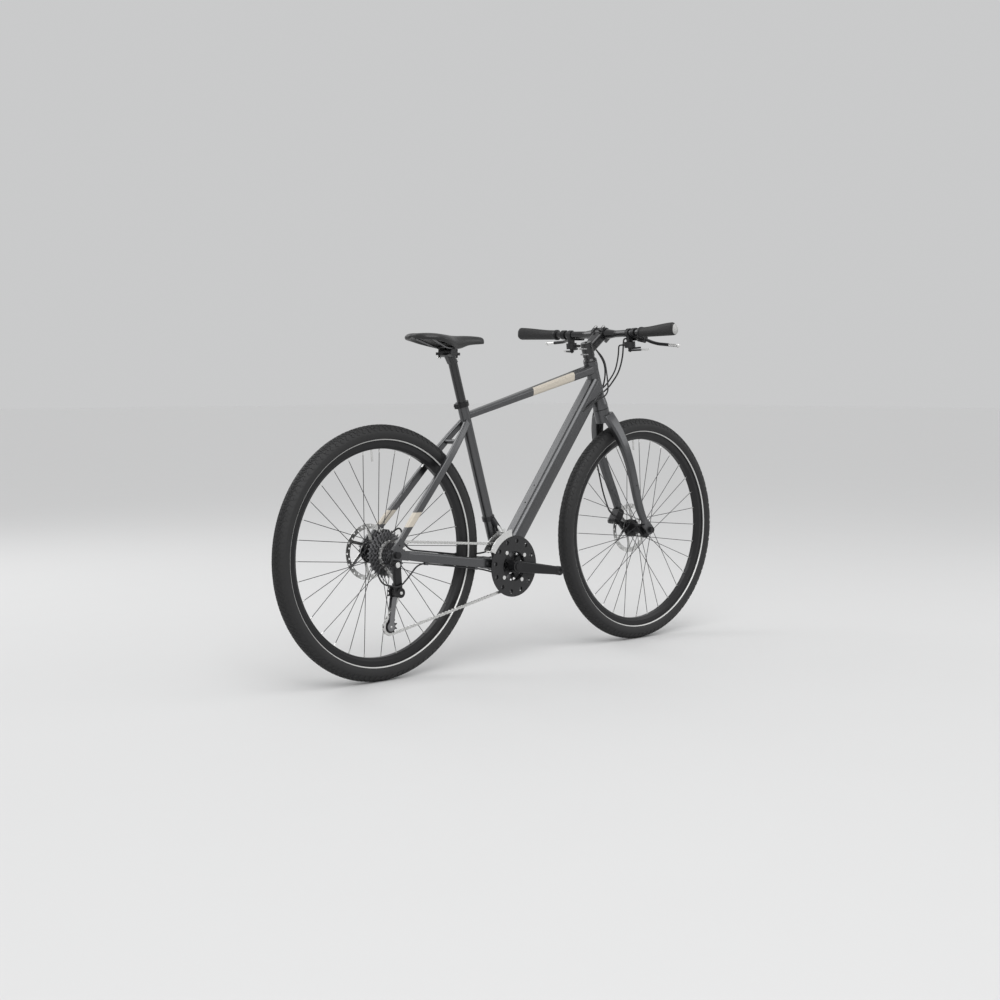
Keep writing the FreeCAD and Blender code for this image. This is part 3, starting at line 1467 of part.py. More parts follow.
lockring_offset = last_offset - tooth_thickness / 2 - lockring_length / 2
lockring = washer(rear_axle + across * lockring_offset, lockring_length, lockring_radius, freehub_bore_radius)
freehub_bearings = []
for place in (freehub_start - bearing_width / 2, last_offset + bearing_width / 2):
    freehub_bearings.append(washer(rear_axle + across * place, bearing_width, freehub_bore_radius,
                                   axle_radius + running_fit))
keep("cassette", *sprockets, *spacers, freehub, lockring, *freehub_bearings)

# Chainrings on the spider, with a guard outside and a small ring inside
spider_angles = [crank_angle + 45 + quarter * 90 for quarter in range(4)]
outer_ring_offset = -chain_line - ring_spacing
inner_ring_offset = -chain_line + ring_spacing
guard_offset = outer_ring_offset - ring_thickness / 2 - guard_gap - guard_thickness / 2
bolt_inner = -chain_line + ring_thickness / 2
bolt_outer = guard_offset - guard_thickness / 2


def bolt_cutters(circle):
    return [drum(polar(bracket, angle, circle, -chain_line), across, 8 * ring_spacing, ring_bolt_radius)
            for angle in spider_angles]


large_ring = toothed(bracket, outer_ring_offset, large_teeth, 0, ring_inner_radius, ring_thickness)
middle_ring = toothed(bracket, -chain_line, middle_teeth, wheel_phase(0), ring_inner_radius, ring_thickness)
small_ring = toothed(bracket, inner_ring_offset, small_teeth, 0, small_ring_inner_radius, ring_thickness)
large_ring = without(large_ring, *bolt_cutters(bolt_circle_radius))
middle_ring = without(middle_ring, *bolt_cutters(bolt_circle_radius))
small_ring = without(small_ring, *bolt_cutters(inner_bolt_circle))
guard = washer(bracket + across * guard_offset, guard_thickness, guard_radius, ring_inner_radius)
guard_posts = []
for angle in spider_angles:
    post = polar(bracket, angle, bolt_circle_radius, guard_offset + guard_thickness / 2)
    guard_posts.append(rod(post, post + across * guard_gap, guard_post_radius))
guard_holes = []
for number in range(guard_windows):
    place = polar(bracket, crank_angle + number * 360 / guard_windows, guard_window_circle, guard_offset)
    guard_holes.append(drum(place, across, 2 * guard_thickness, guard_window_radius))
guard = without(joined(guard, *guard_posts), *bolt_cutters(bolt_circle_radius), *guard_holes)
ring_bolts = []
for angle in spider_angles:
    outer = polar(bracket, angle, bolt_circle_radius, bolt_outer)
    inner = polar(bracket, angle, bolt_circle_radius, bolt_inner)
    shank = rod(outer, inner, ring_bolt_radius)
    head = rod(outer, outer - across * ring_bolt_head_length, ring_bolt_head_radius)
    nut = rod(inner, inner + across * ring_bolt_head_length, ring_bolt_head_radius)
    ring_bolts.append(joined(shank, head, nut))
    low = polar(bracket, angle, inner_bolt_circle, inner_ring_offset + ring_thickness / 2)
    stop = polar(bracket, angle, inner_bolt_circle, -chain_line)
    small_head = rod(low, low + across * ring_bolt_head_length, ring_bolt_head_radius)
    ring_bolts.append(joined(rod(low, stop, ring_bolt_radius), small_head))
keep("chainrings", large_ring, middle_ring, small_ring)
keep("chain_guard", guard)
keep("chainring_bolts", *ring_bolts)


# Crank arms; the spindle is fixed in the right arm
def crank_arm(side, angle):
    along = slanted(angle)
    tall = along.cross(across)
    root = Vector(bracket.x, side * arm_root_offset, bracket.z)
    eye_middle = pedal_face_offset - pedal_eye_thickness / 2
    tip = polar(bracket, angle, crank_length, side * eye_middle)
    arm = lofted([(root, across, tall, arm_thickness, arm_root_height),
                  (tip, across, tall, arm_thickness, arm_tip_height)])
    eye = drum(tip, across, pedal_eye_thickness, pedal_eye_radius)
    start = bracket + across * (side * (cup_end + turning_gap))
    boss = rod(start, bracket + across * (side * crank_hub_end), crank_hub_radius)
    thread = drum(tip, across, 2 * pedal_eye_thickness, pedal_thread_radius)
    beyond = rod(tip + across * (side * pedal_eye_thickness / 2), tip + across * (side * pedal_eye_thickness),
                 crank_length)
    return joined(boss, arm, eye).cut(thread).cut(beyond)


spider_inner = -chain_line - ring_thickness / 2
spider_outer = outer_ring_offset + ring_thickness / 2
spider_parts = []
spider_cuts = bolt_cutters(bolt_circle_radius)
for angle in spider_angles:
    out = slanted(angle)
    aside = out.cross(across) * (spider_arm_width / 2)
    base = bracket + across * spider_inner
    tip = base + out * bolt_circle_radius
    depth = across * (spider_outer - spider_inner)
    spider_parts.append(flat([base - aside, tip - aside, tip + aside, base + aside], depth))
    spider_parts.append(rod(tip, tip + depth, spider_boss_radius))
    post = polar(bracket, angle, inner_bolt_circle, inner_ring_offset - ring_thickness / 2)
    post_end = polar(bracket, angle, inner_bolt_circle, spider_outer)
    spider_parts.append(rod(post, post_end, small_post_radius))
    post_stop = polar(bracket, angle, inner_bolt_circle, -chain_line)
    spider_cuts.append(rod(post + across * cut_overrun, post_stop, ring_bolt_radius))
left_end = bracket + across * crank_hub_end
right_end_point = bracket - across * crank_hub_end
spindle = rod(right_end_point, left_end, spindle_radius)
spindle_bore = rod(right_end_point - across * cut_overrun, left_end + across * cut_overrun,
                   spindle_radius - spindle_wall)
right_crank = joined(crank_arm(right_side, crank_angle), *spider_parts, spindle)
right_crank = without(right_crank, *spider_cuts, spindle_bore)
left_crank = crank_arm(left_side, crank_angle + 180).cut(rod(bracket, left_end + across * cut_overrun,
                                                               spindle_radius + seat_play))
crank_bolts = []
for side, end in zip(both_sides, (right_end_point, left_end)):
    shank = rod(end - across * (side * cup_width), end, spindle_radius - spindle_wall)
    head = rod(end, end + across * (side * crank_bolt_length), crank_bolt_radius + spindle_wall)
    crank_bolts.append(joined(shank, head))
keep("right_crank", right_crank, crank_bolts[0])
keep("left_crank", left_crank, crank_bolts[1])

# Rear derailleur: hanger bolt, knuckles, link and cage with its two pulley pins
plate_outer = rear_hub_width / 2 + dropout_thickness
knuckle_start = hanger_centre - across * plate_outer
knuckle_end = knuckle_start - across * knuckle_length
hanger_knuckle = rod(knuckle_start, knuckle_end, knuckle_radius)
cage_outer = -chain_line - cage_gap - cage_thickness
pivot_start = Vector(guide_centre.x, cage_outer, guide_centre.z)
pivot_end = pivot_start - across * pivot_knuckle_length
pivot_knuckle = rod(pivot_start, pivot_end, pivot_knuckle_radius)
link_first = (knuckle_start + knuckle_end) * 0.5
link_second = (pivot_start + pivot_end) * 0.5
link_along = unit(link_second - link_first)
link_wide = unit(across.cross(link_along))
link_tall = link_along.cross(link_wide)
link_body = lofted([(link_first, link_wide, link_tall, link_height, link_first_depth),
                    (link_second, link_wide, link_tall, link_height, link_second_depth)])
derailleur = joined(hanger_knuckle, pivot_knuckle, link_body)
hanger_bolt = joined(
    rod(knuckle_start + across * dropout_thickness, knuckle_end, knuckle_bolt_radius),
    rod(knuckle_end, knuckle_end - across * knuckle_bolt_length, knuckle_bolt_head_radius))
derailleur = derailleur.cut(rod(knuckle_start, knuckle_end, knuckle_bolt_radius))
pivot_bolt = rod(pivot_end, pivot_end - across * knuckle_bolt_length, knuckle_bolt_radius)
cable_anchor_start = knuckle_start - across * (knuckle_length / 2) - ahead * (knuckle_radius - frame_wall)
cable_anchor_end = cable_anchor_start - ahead * barrel_length
cable_anchor = rod(cable_anchor_start, cable_anchor_end, barrel_radius)


def cage_plate(level):
    shapes = []
    depth = across * cage_thickness
    for centre in (guide_centre, tension_centre):
        base = Vector(centre.x, level, centre.z)
        shapes.append(rod(base, base + depth, cage_radius))
    along = unit(tension_centre - guide_centre)
    aside = along.cross(across) * (cage_waist / 2)
    first = Vector(guide_centre.x, level, guide_centre.z)
    second = Vector(tension_centre.x, level, tension_centre.z)
    points = [first - aside, second - aside, second + aside, first + aside]
    return joined(flat(points, depth), *shapes)


cage_inner = -chain_line + cage_gap
cage_plates = [cage_plate(cage_outer), cage_plate(cage_inner)]
pulley_pins = []
for centre in (guide_centre, tension_centre):
    start = Vector(centre.x, cage_outer, centre.z)
    pulley_pins.append(rod(start, Vector(centre.x, cage_inner + cage_thickness, centre.z), pulley_pin_radius))
derailleur = without(derailleur, cable_anchor, hanger_bolt, solid_plates[0], *cage_plates, *pulley_pins)
cage_plates = [without(plate, *pulley_pins) for plate in cage_plates]
keep("rear_derailleur", derailleur, hanger_bolt, pivot_bolt, cable_anchor, *cage_plates, *pulley_pins)


def pulley(centre, number):
    wheel = toothed(centre, -chain_line, pulley_teeth, wheel_phase(number), pulley_pin_radius + running_fit,
                    tooth_thickness)
    width = 2 * (cage_gap - turning_gap)
    middle = Vector(centre.x, -chain_line, centre.z)
    boss = washer(middle, width, pulley_hub_radius, pulley_pin_radius + running_fit)
    return joined(wheel, boss)


keep("guide_pulley", pulley(guide_centre, 2))
keep("tension_pulley", pulley(tension_centre, 1))

# Front derailleur: band on the seat tube, arm, and a cage that follows the large ring
cage_low = pitch_radius(large_teeth) + tooth_height + front_cage_gap
cage_high = cage_low + front_cage_height


def arc_plate(offset):
    angles = (front_cage_first, (front_cage_first + front_cage_last) / 2, front_cage_last)
    low = [polar(bracket, angle, cage_low, offset) for angle in angles]
    high = [polar(bracket, angle, cage_high, offset) for angle in angles]
    edges = [Part.Arc(*low).toShape(), Part.LineSegment(low[2], high[2]).toShape(),
             Part.Arc(high[2], high[1], high[0]).toShape(), Part.LineSegment(high[0], low[0]).toShape()]
    return Part.Face(Part.Wire(edges)).extrude(across * front_cage_thickness)


inner_plate = arc_plate(-front_cage_inner_offset - front_cage_thickness)
outer_plate = arc_plate(-front_cage_outer_offset)
top_angle = front_cage_first + (front_cage_last - front_cage_first) * cage_bridge_share
bridge_line = cage_high - cage_bridge_inset
top_bridge = rod(polar(bracket, top_angle, bridge_line, -front_cage_outer_offset),
                 polar(bracket, top_angle, bridge_line, -front_cage_inner_offset), cage_bridge_radius)
tail_angle = front_cage_first + (front_cage_last - front_cage_first) * tail_bridge_share
tail_bridge = rod(polar(bracket, tail_angle, cage_low + tail_bridge_inset, -front_cage_outer_offset),
                  polar(bracket, tail_angle, cage_low + tail_bridge_inset, -front_cage_inner_offset),
                  tail_bridge_radius)
front_cage = joined(inner_plate, outer_plate, top_bridge, tail_bridge)
band_centre = seat_base + seat_up * front_band_station
band = drum(band_centre, seat_up, front_band_height, seat_tube_radius + front_band_thickness)
arm_end = polar(bracket, top_angle, bridge_line, -front_cage_inner_offset)
arm_start = band_centre - across * (seat_tube_radius + front_band_thickness / 2)
arm_run = unit(arm_end - arm_start)
arm_wide = unit(arm_run.cross(seat_up))
arm_tall = arm_wide.cross(arm_run)
arm = lofted([(arm_start, arm_wide, arm_tall, front_arm_width, front_band_height),
              (arm_end, arm_wide, arm_tall, front_arm_width, front_band_height)])
front_body = joined(band, arm)
front_body = without(front_body, seat_core, front_cage)

# Seatpost with a setback head, rail clamp and the saddle on its rails
post_top = seat_base + seat_up * seatpost_head_station
post_low = seat_top - seat_up * seatpost_insert
post = rod(post_low, post_top, seatpost_radius)
cradle_centre = post_top - ahead * saddle_setback + upward * saddle_clamp_rise
post_tall = seat_up.cross(across)
neck = lofted([
    (post_top - seat_up * seatpost_radius, across, post_tall, 2 * seatpost_radius, 2 * seatpost_radius),
    (cradle_centre, across, post_tall, 2 * seatpost_radius, 2 * cradle_radius)])
cradle = drum(cradle_centre, across, cradle_width, cradle_radius)
rail_centre = cradle_centre + upward * cradle_radius


def rail_route(side):
    half = rail_clamp_length / 2
    clamp_side = across * (side * rail_spread / 2)
    nose = rail_centre + Vector(rail_nose_reach, side * rail_nose_spread / 2, rail_nose_rise)
    tail = rail_centre + Vector(-rail_tail_reach, side * rail_tail_spread / 2, rail_tail_rise)
    return [nose, rail_centre + ahead * half + clamp_side, rail_centre - ahead * half + clamp_side, tail]


rails = [bent_rod(rail_route(side), rail_radius) for side in both_sides]
clamp_plate = lofted([
    (rail_centre - ahead * (rail_clamp_length / 2) + upward * (clamp_plate_thickness / 2), across, upward,
     cradle_width, clamp_plate_thickness),
    (rail_centre + ahead * (rail_clamp_length / 2) + upward * (clamp_plate_thickness / 2), across, upward,
     cradle_width, clamp_plate_thickness)])
seatpost = joined(post, neck, cradle)
hollow_post = rod(post_low - seat_up * cut_overrun, post_top - seat_up * seatpost_radius,
                  seatpost_radius - seatpost_wall)
seatpost = without(seatpost, hollow_post, clamp_plate, *rails)
clamp_plate = without(clamp_plate, *rails)
keep("seatpost", seatpost, clamp_plate)
keep("saddle_rails", *rails)

saddle_tail = cradle_centre.x - saddle_tail_behind
saddle_base = rail_centre.z + saddle_rise
saddle_sections = []
for share, width, thickness, top_rise in zip(saddle_station_shares, saddle_widths, saddle_thicknesses,
                                             saddle_top_rises):
    middle = Vector(saddle_tail + saddle_length * share, 0, saddle_base + top_rise - thickness / 2)
    saddle_sections.append((middle, across, upward, width, thickness))
hollow_sections = []
for share, width in zip(saddle_hollow_shares, saddle_hollow_widths):
    top_rise = between(share, saddle_station_shares, saddle_top_rises)
    middle = Vector(saddle_tail + saddle_length * share, 0,
                    saddle_base + top_rise - saddle_shell - saddle_hollow_depth / 2)
    hollow_sections.append((middle, across, upward, width, saddle_hollow_depth))
saddle = without(lofted(saddle_sections), lofted(hollow_sections), *rails)
keep("saddle", saddle)

# Hoses and gear cables; inside the down tube they run free between its ports
def inward_run(start, side):
    return [start, start - bar_along(side) * cable_lead]


def points_of(table):
    return [Vector(*row) for row in table]


def along_stay(shares, side, sign, radius):
    return [beside_stay(share, side, sign, radius + cable_stay_gap) for share in shares]


front_hose_start = control_point(master_inner_half, master_reach, left_side, left_lever_slope)
front_hose_end = polar(front_axle, front_caliper_angle, rotor_radius + caliper_roof, front_hose_offset)
front_hose_route = inward_run(front_hose_start, left_side) + points_of(front_hose_points)
front_hose_route += [front_hose_end + slanted(front_caliper_angle) * cable_lead, front_hose_end]
rear_hose_start = control_point(master_inner_half, master_reach, right_side, right_lever_slope)
rear_hose_end = polar(rear_axle, rear_caliper_angle, rotor_radius + caliper_roof, rear_hose_offset)
rear_hose_route = inward_run(rear_hose_start, right_side) + points_of(rear_hose_points)
rear_hose_route += along_stay(hose_stay_shares, left_side, 1, hose_radius) + points_of(rear_hose_rise_points)
rear_hose_route += [rear_hose_end + slanted(rear_caliper_angle) * cable_lead, rear_hose_end]
rear_cable_route = inward_run(barrel_end(right_side), right_side) + points_of(rear_cable_points)
rear_cable_route += along_stay(cable_stay_shares, right_side, -1, cable_radius) + points_of(cable_loop_points)
rear_cable_route += [cable_anchor_end - ahead * cable_loop_lead, cable_anchor_end]
front_cable_end = (arm_start + arm_end) * 0.5
front_cable_route = inward_run(barrel_end(left_side), left_side) + points_of(front_cable_points)
front_cable_route += [front_cable_end]
front_hose = bent_rod(front_hose_route, hose_radius)
rear_hose = bent_rod(rear_hose_route, hose_radius)
rear_cable = bent_rod(rear_cable_route, cable_radius)
front_cable = bent_rod(front_cable_route, cable_radius)
port_cuts = [bent_rod(rear_hose_route, hose_radius + port_clearance),
             bent_rod(rear_cable_route, cable_radius + port_clearance),
             bent_rod(front_cable_route, cable_radius + port_clearance)]
down_tube = without(down_tube, *port_cuts)
front_body = without(front_body, front_cable)
keep("front_brake_hose", front_hose)
keep("frame_cables", rear_hose, rear_cable, front_cable)
keep("front_derailleur", front_body, front_cage)
keep("down_tube", down_tube)

# Cable clips under the right chain stay and on the left one, and the guide under the bracket shell
clipped_cords = ((right_side, -1, cable_radius, rear_cable), (left_side, 1, hose_radius, rear_hose))
clips = []
for share in clip_shares:
    for side, sign, radius, cord in clipped_cords:
        centre = beside_stay(share, side, sign, radius + cable_stay_gap)
        size = 2 * (radius + clip_wall)
        half = chain_stay_along * (clip_length / 2)
        block = lofted([(centre - half, across, chain_stay_tall, size, size),
                        (centre + half, across, chain_stay_tall, size, size)])
        clips.append(without(block, lofted(chain_stay_sections(side)), cord))
keep("chain_stays", *chain_stays, *clips)
guide_centre_low = bracket - upward * (shell_radius + guide_height / 2)
guide = lofted([(guide_centre_low + across * (sign * guide_width / 2), ahead, upward, guide_length,
                 guide_block_height) for sign in (-1, 1)])
guide = without(guide, shell_core, *chain_stays, down_core, front_cable, rear_cable)
keep("bottom_bracket_shell", shell, guide)
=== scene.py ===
import math
import bmesh
import bpy
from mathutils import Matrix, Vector


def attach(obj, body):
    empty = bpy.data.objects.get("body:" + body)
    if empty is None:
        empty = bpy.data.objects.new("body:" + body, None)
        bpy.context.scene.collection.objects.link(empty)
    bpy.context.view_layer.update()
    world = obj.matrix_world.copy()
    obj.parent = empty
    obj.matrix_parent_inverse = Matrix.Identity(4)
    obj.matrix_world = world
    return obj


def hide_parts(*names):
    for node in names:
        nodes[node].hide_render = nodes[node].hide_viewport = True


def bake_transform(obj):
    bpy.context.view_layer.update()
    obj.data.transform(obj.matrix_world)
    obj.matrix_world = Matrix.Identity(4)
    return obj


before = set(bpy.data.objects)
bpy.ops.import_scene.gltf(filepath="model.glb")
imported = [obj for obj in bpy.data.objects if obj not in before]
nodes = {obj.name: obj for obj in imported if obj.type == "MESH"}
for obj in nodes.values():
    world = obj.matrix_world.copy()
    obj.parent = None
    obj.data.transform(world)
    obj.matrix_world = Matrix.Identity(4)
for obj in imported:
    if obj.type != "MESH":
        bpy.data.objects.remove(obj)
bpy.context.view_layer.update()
scene = bpy.context.scene
scene.view_settings.view_transform = "Standard"
axles = {"front": (0.543, 0.0, 0.362), "rear": (-0.543, 0.0, 0.362)}
print("frame loaded,", len(nodes), "nodes")


# Small helpers for shader trees
def addNode(tree, kind, values=None, **settings):
    made = tree.nodes.new(kind)
    for name, value in settings.items():
        setattr(made, name, value)
    for name, value in (values or {}).items():
        made.inputs[name].default_value = value
    return made


def newGroup(name, kind, inputs, outputs):
    tree = bpy.data.node_groups.new(name, kind)
    for socketName, socketKind, value in inputs:
        socket = tree.interface.new_socket(socketName, in_out="INPUT", socket_type=socketKind)
        if value is not None:
            socket.default_value = value
    for socketName, socketKind in outputs:
        tree.interface.new_socket(socketName, in_out="OUTPUT", socket_type=socketKind)
    return tree, tree.nodes.new("NodeGroupInput"), tree.nodes.new("NodeGroupOutput")


def useGroup(tree, group, values=None):
    made = addNode(tree, "ShaderNodeGroup", node_tree=group)
    for name, value in (values or {}).items():
        made.inputs[name].default_value = value
    return made


# Shared shader groups: fine grain, softened edges, a band of a value, the place on a wheel
def buildGrain():
    tree, start, end = newGroup(
        "fineGrain", "ShaderNodeTree",
        [("Scale", "NodeSocketFloat", 300.0), ("Low", "NodeSocketFloat", 0.3),
         ("High", "NodeSocketFloat", 0.4)],
        [("Value", "NodeSocketFloat")])
    place = addNode(tree, "ShaderNodeTexCoord")
    noise = addNode(tree, "ShaderNodeTexNoise", {"Detail": 3.0})
    spread = addNode(tree, "ShaderNodeMapRange", {"From Min": 0.3, "From Max": 0.7})
    tree.links.new(place.outputs["Object"], noise.inputs["Vector"])
    tree.links.new(start.outputs["Scale"], noise.inputs["Scale"])
    tree.links.new(noise.outputs["Fac"], spread.inputs["Value"])
    tree.links.new(start.outputs["Low"], spread.inputs["To Min"])
    tree.links.new(start.outputs["High"], spread.inputs["To Max"])
    tree.links.new(spread.outputs["Result"], end.inputs["Value"])
    return tree


def buildSoftEdge():
    tree, start, end = newGroup(
        "softEdge", "ShaderNodeTree",
        [("Radius", "NodeSocketFloat", 0.0006), ("Scale", "NodeSocketFloat", 500.0),
         ("Depth", "NodeSocketFloat", 0.0)],
        [("Normal", "NodeSocketVector")])
    place = addNode(tree, "ShaderNodeTexCoord")
    noise = addNode(tree, "ShaderNodeTexNoise", {"Detail": 2.0})
    bevel = addNode(tree, "ShaderNodeBevel", samples=4)
    bump = addNode(tree, "ShaderNodeBump", {"Distance": 0.001})
    tree.links.new(start.outputs["Radius"], bevel.inputs["Radius"])
    tree.links.new(place.outputs["Object"], noise.inputs["Vector"])
    tree.links.new(start.outputs["Scale"], noise.inputs["Scale"])
    tree.links.new(noise.outputs["Fac"], bump.inputs["Height"])
    tree.links.new(start.outputs["Depth"], bump.inputs["Strength"])
    tree.links.new(bevel.outputs["Normal"], bump.inputs["Normal"])
    tree.links.new(bump.outputs["Normal"], end.inputs["Normal"])
    return tree


def buildBetween():
    tree, start, end = newGroup(
        "between", "ShaderNodeTree",
        [("Value", "NodeSocketFloat", 0.0), ("Low", "NodeSocketFloat", 0.0),
         ("High", "NodeSocketFloat", 1.0)],
        [("Mask", "NodeSocketFloat")])
    above = addNode(tree, "ShaderNodeMath", operation="GREATER_THAN")
    below = addNode(tree, "ShaderNodeMath", operation="LESS_THAN")
    both = addNode(tree, "ShaderNodeMath", operation="MULTIPLY")
    tree.links.new(start.outputs["Value"], above.inputs[0])
    tree.links.new(start.outputs["Low"], above.inputs[1])
    tree.links.new(start.outputs["Value"], below.inputs[0])
    tree.links.new(start.outputs["High"], below.inputs[1])
    tree.links.new(above.outputs[0], both.inputs[0])
    tree.links.new(below.outputs[0], both.inputs[1])
    tree.links.new(both.outputs[0], end.inputs["Mask"])
    return tree


def buildPlace():
    tree, start, end = newGroup(
        "placeFrom", "ShaderNodeTree", [("Centre", "NodeSocketVector", (0.0, 0.0, 0.0))],
        [("X", "NodeSocketFloat"), ("Y", "NodeSocketFloat"), ("Z", "NodeSocketFloat"),
         ("Radius", "NodeSocketFloat"), ("Aside", "NodeSocketFloat")])
    place = addNode(tree, "ShaderNodeTexCoord")
    away = addNode(tree, "ShaderNodeVectorMath", operation="SUBTRACT")
    parts = addNode(tree, "ShaderNodeSeparateXYZ")
    flat = addNode(tree, "ShaderNodeCombineXYZ")
    length = addNode(tree, "ShaderNodeVectorMath", operation="LENGTH")
    aside = addNode(tree, "ShaderNodeMath", operation="ABSOLUTE")
    tree.links.new(place.outputs["Object"], away.inputs[0])
    tree.links.new(start.outputs["Centre"], away.inputs[1])
    tree.links.new(away.outputs["Vector"], parts.inputs["Vector"])
    tree.links.new(parts.outputs["X"], flat.inputs["X"])
    tree.links.new(parts.outputs["Z"], flat.inputs["Y"])
    tree.links.new(flat.outputs["Vector"], length.inputs[0])
    tree.links.new(parts.outputs["Y"], aside.inputs[0])
    for name in ("X", "Y", "Z"):
        tree.links.new(parts.outputs[name], end.inputs[name])
    tree.links.new(length.outputs["Value"], end.inputs["Radius"])
    tree.links.new(aside.outputs[0], end.inputs["Aside"])
    return tree


grainGroup = buildGrain()
edgeGroup = buildSoftEdge()
betweenGroup = buildBetween()
placeGroup = buildPlace()


def maskOf(tree, limits):
    result = None
    for centre, part, low, high in limits:
        place = useGroup(tree, placeGroup, {"Centre": centre})
        test = useGroup(tree, betweenGroup, {"Low": low, "High": high})
        tree.links.new(place.outputs[part], test.inputs["Value"])
        if result is None:
            result = test.outputs["Mask"]
        else:
            both = addNode(tree, "ShaderNodeMath", operation="MULTIPLY")
            tree.links.new(result, both.inputs[0])
            tree.links.new(test.outputs["Mask"], both.inputs[1])
            result = both.outputs[0]
    return result


def mixInto(tree, kind, previous, constant, mask, value):
    mix = addNode(tree, "ShaderNodeMix", data_type=kind)
    first, second, result = (6, 7, 2) if kind == "RGBA" else (2, 3, 0)
    tree.links.new(mask, mix.inputs[0])
    if previous is None:
        mix.inputs[first].default_value = constant
    else:
        tree.links.new(previous, mix.inputs[first])
    mix.inputs[second].default_value = value
    return mix.outputs[result]


# What a finish has unless it says otherwise
plainLook = {"metallic": 0.0, "coat": 0.0, "coatRoughness": 0.15, "ior": 1.48, "scale": 300.0, "spread": 0.04,
             "edge": 0.0006, "bump": 0.0, "bumpScale": 500.0}


def makeMaterial(name, finish, layers=()):
    look = {**plainLook, **finish}
    paint = (*look["colour"], 1.0)
    material = bpy.data.materials.new(name)
    material.use_nodes = True
    tree = material.node_tree
    shader = tree.nodes["Principled BSDF"]
    shader.inputs["Base Color"].default_value = paint
    shader.inputs["Metallic"].default_value = look["metallic"]
    shader.inputs["Coat Weight"].default_value = look["coat"]
    shader.inputs["Coat Roughness"].default_value = look["coatRoughness"]
    shader.inputs["IOR"].default_value = look["ior"]
    material.diffuse_color = paint
    grain = useGroup(tree, grainGroup, {"Scale": look["scale"], "Low": look["roughness"] - look["spread"],
                                        "High": look["roughness"] + look["spread"]})
    edge = useGroup(tree, edgeGroup, {"Radius": look["edge"], "Scale": look["bumpScale"],
                                      "Depth": look["bump"]})
    tree.links.new(edge.outputs["Normal"], shader.inputs["Normal"])
    colour, metallic, roughness = None, None, grain.outputs["Value"]
    for layer in layers:
        mask = maskOf(tree, layer["limits"])
        colour = mixInto(tree, "RGBA", colour, paint, mask, (*layer["colour"], 1.0))
        layerMetallic = layer.get("metallic", plainLook["metallic"])
        metallic = mixInto(tree, "FLOAT", metallic, look["metallic"], mask, layerMetallic)
        roughness = mixInto(tree, "FLOAT", roughness, look["roughness"], mask, layer["roughness"])
    if colour is not None:
        tree.links.new(colour, shader.inputs["Base Color"])
        tree.links.new(metallic, shader.inputs["Metallic"])
    tree.links.new(roughness, shader.inputs["Roughness"])
    return material


def dress(material, *names):
    for name in names:
        for slot in nodes[name].material_slots:
            slot.material = material


origin = (0.0, 0.0, 0.0)
silver = {"colour": (0.72, 0.72, 0.71), "metallic": 0.95, "roughness": 0.24}

# Frame paint: satin metallic graphite, with plain beige panels on the top tube and low on the seat stays
paintLook = {"colour": (0.088, 0.089, 0.092), "metallic": 0.85, "roughness": 0.3, "coat": 0.3, "scale": 900.0,
             "spread": 0.05, "edge": 0.0008}
panelLook = {"colour": (0.5, 0.455, 0.385), "metallic": 0.15, "roughness": 0.4}
topPanel = {"limits": [(origin, "X", 0.048, 0.225), (origin, "Aside", 0.0085, 1.0)], **panelLook}
stayPanel = {"limits": [(origin, "Z", 0.437, 0.476)], **panelLook}
guideLayer = {"limits": [(origin, "Z", 0.0, 0.2735)], "colour": (0.02, 0.02, 0.02), "roughness": 0.5}
graphitePaint = makeMaterial("graphitePaint", paintLook)
dress(graphitePaint, "head_tube", "down_tube", "seat_tube", "chain_stays", "dropouts", "fork")
dress(makeMaterial("panelledPaint", paintLook, [topPanel]), "top_tube")
dress(makeMaterial("stayPaint", paintLook, [stayPanel]), "seat_stays")
dress(makeMaterial("shellPaint", paintLook, [guideLayer]), "bottom_bracket_shell")
print("frame paint done")

# Black metal and plastic fittings
blackAlloy = makeMaterial("blackAlloy", {"colour": (0.013, 0.013, 0.014), "metallic": 0.4, "roughness": 0.34,
                                         "edge": 0.0009})
glossBlack = makeMaterial("glossBlack", {"colour": (0.012, 0.012, 0.013), "metallic": 0.3, "roughness": 0.22,
                                         "coat": 0.5, "edge": 0.0012})
blackPlastic = makeMaterial("blackPlastic", {"colour": (0.012, 0.012, 0.013), "roughness": 0.46, "bump": 0.06,
                                             "bumpScale": 1400.0, "edge": 0.0009})
cableSkin = makeMaterial("cableSkin", {"colour": (0.01, 0.01, 0.011), "roughness": 0.42, "edge": 0.0002})
steel = makeMaterial("brightSteel", {"colour": (0.6, 0.6, 0.59), "metallic": 0.95, "roughness": 0.28,
                                     "edge": 0.0003})
darkSteel = makeMaterial("darkSteel", {"colour": (0.17, 0.17, 0.175), "metallic": 0.85, "roughness": 0.34,
                                       "edge": 0.0004})
boltSilver = makeMaterial("boltSilver", {**silver, "edge": 0.0005})
dress(glossBlack, "stem", "handlebar", "seatpost", "headset_stack")
dress(blackAlloy, "seat_clamp", "bottom_bracket_cups", "left_crank", "right_crank", "front_hub", "rear_hub",
      "front_brake_caliper", "rear_brake_caliper", "left_brake_control", "right_brake_control", "front_axle",
      "rear_axle")
dress(blackPlastic, "chain_guard", "guide_pulley", "tension_pulley", "left_shifter", "right_shifter",
      "left_release_lever", "right_release_lever", "front_inner_tube", "rear_inner_tube")
dress(cableSkin, "front_brake_hose")
dress(steel, "chain", "front_brake_rotor", "rear_brake_rotor")
dress(darkSteel, "cassette", "chainrings", "headset_bearings", "saddle_rails")
dress(boltSilver, "chainring_bolts")

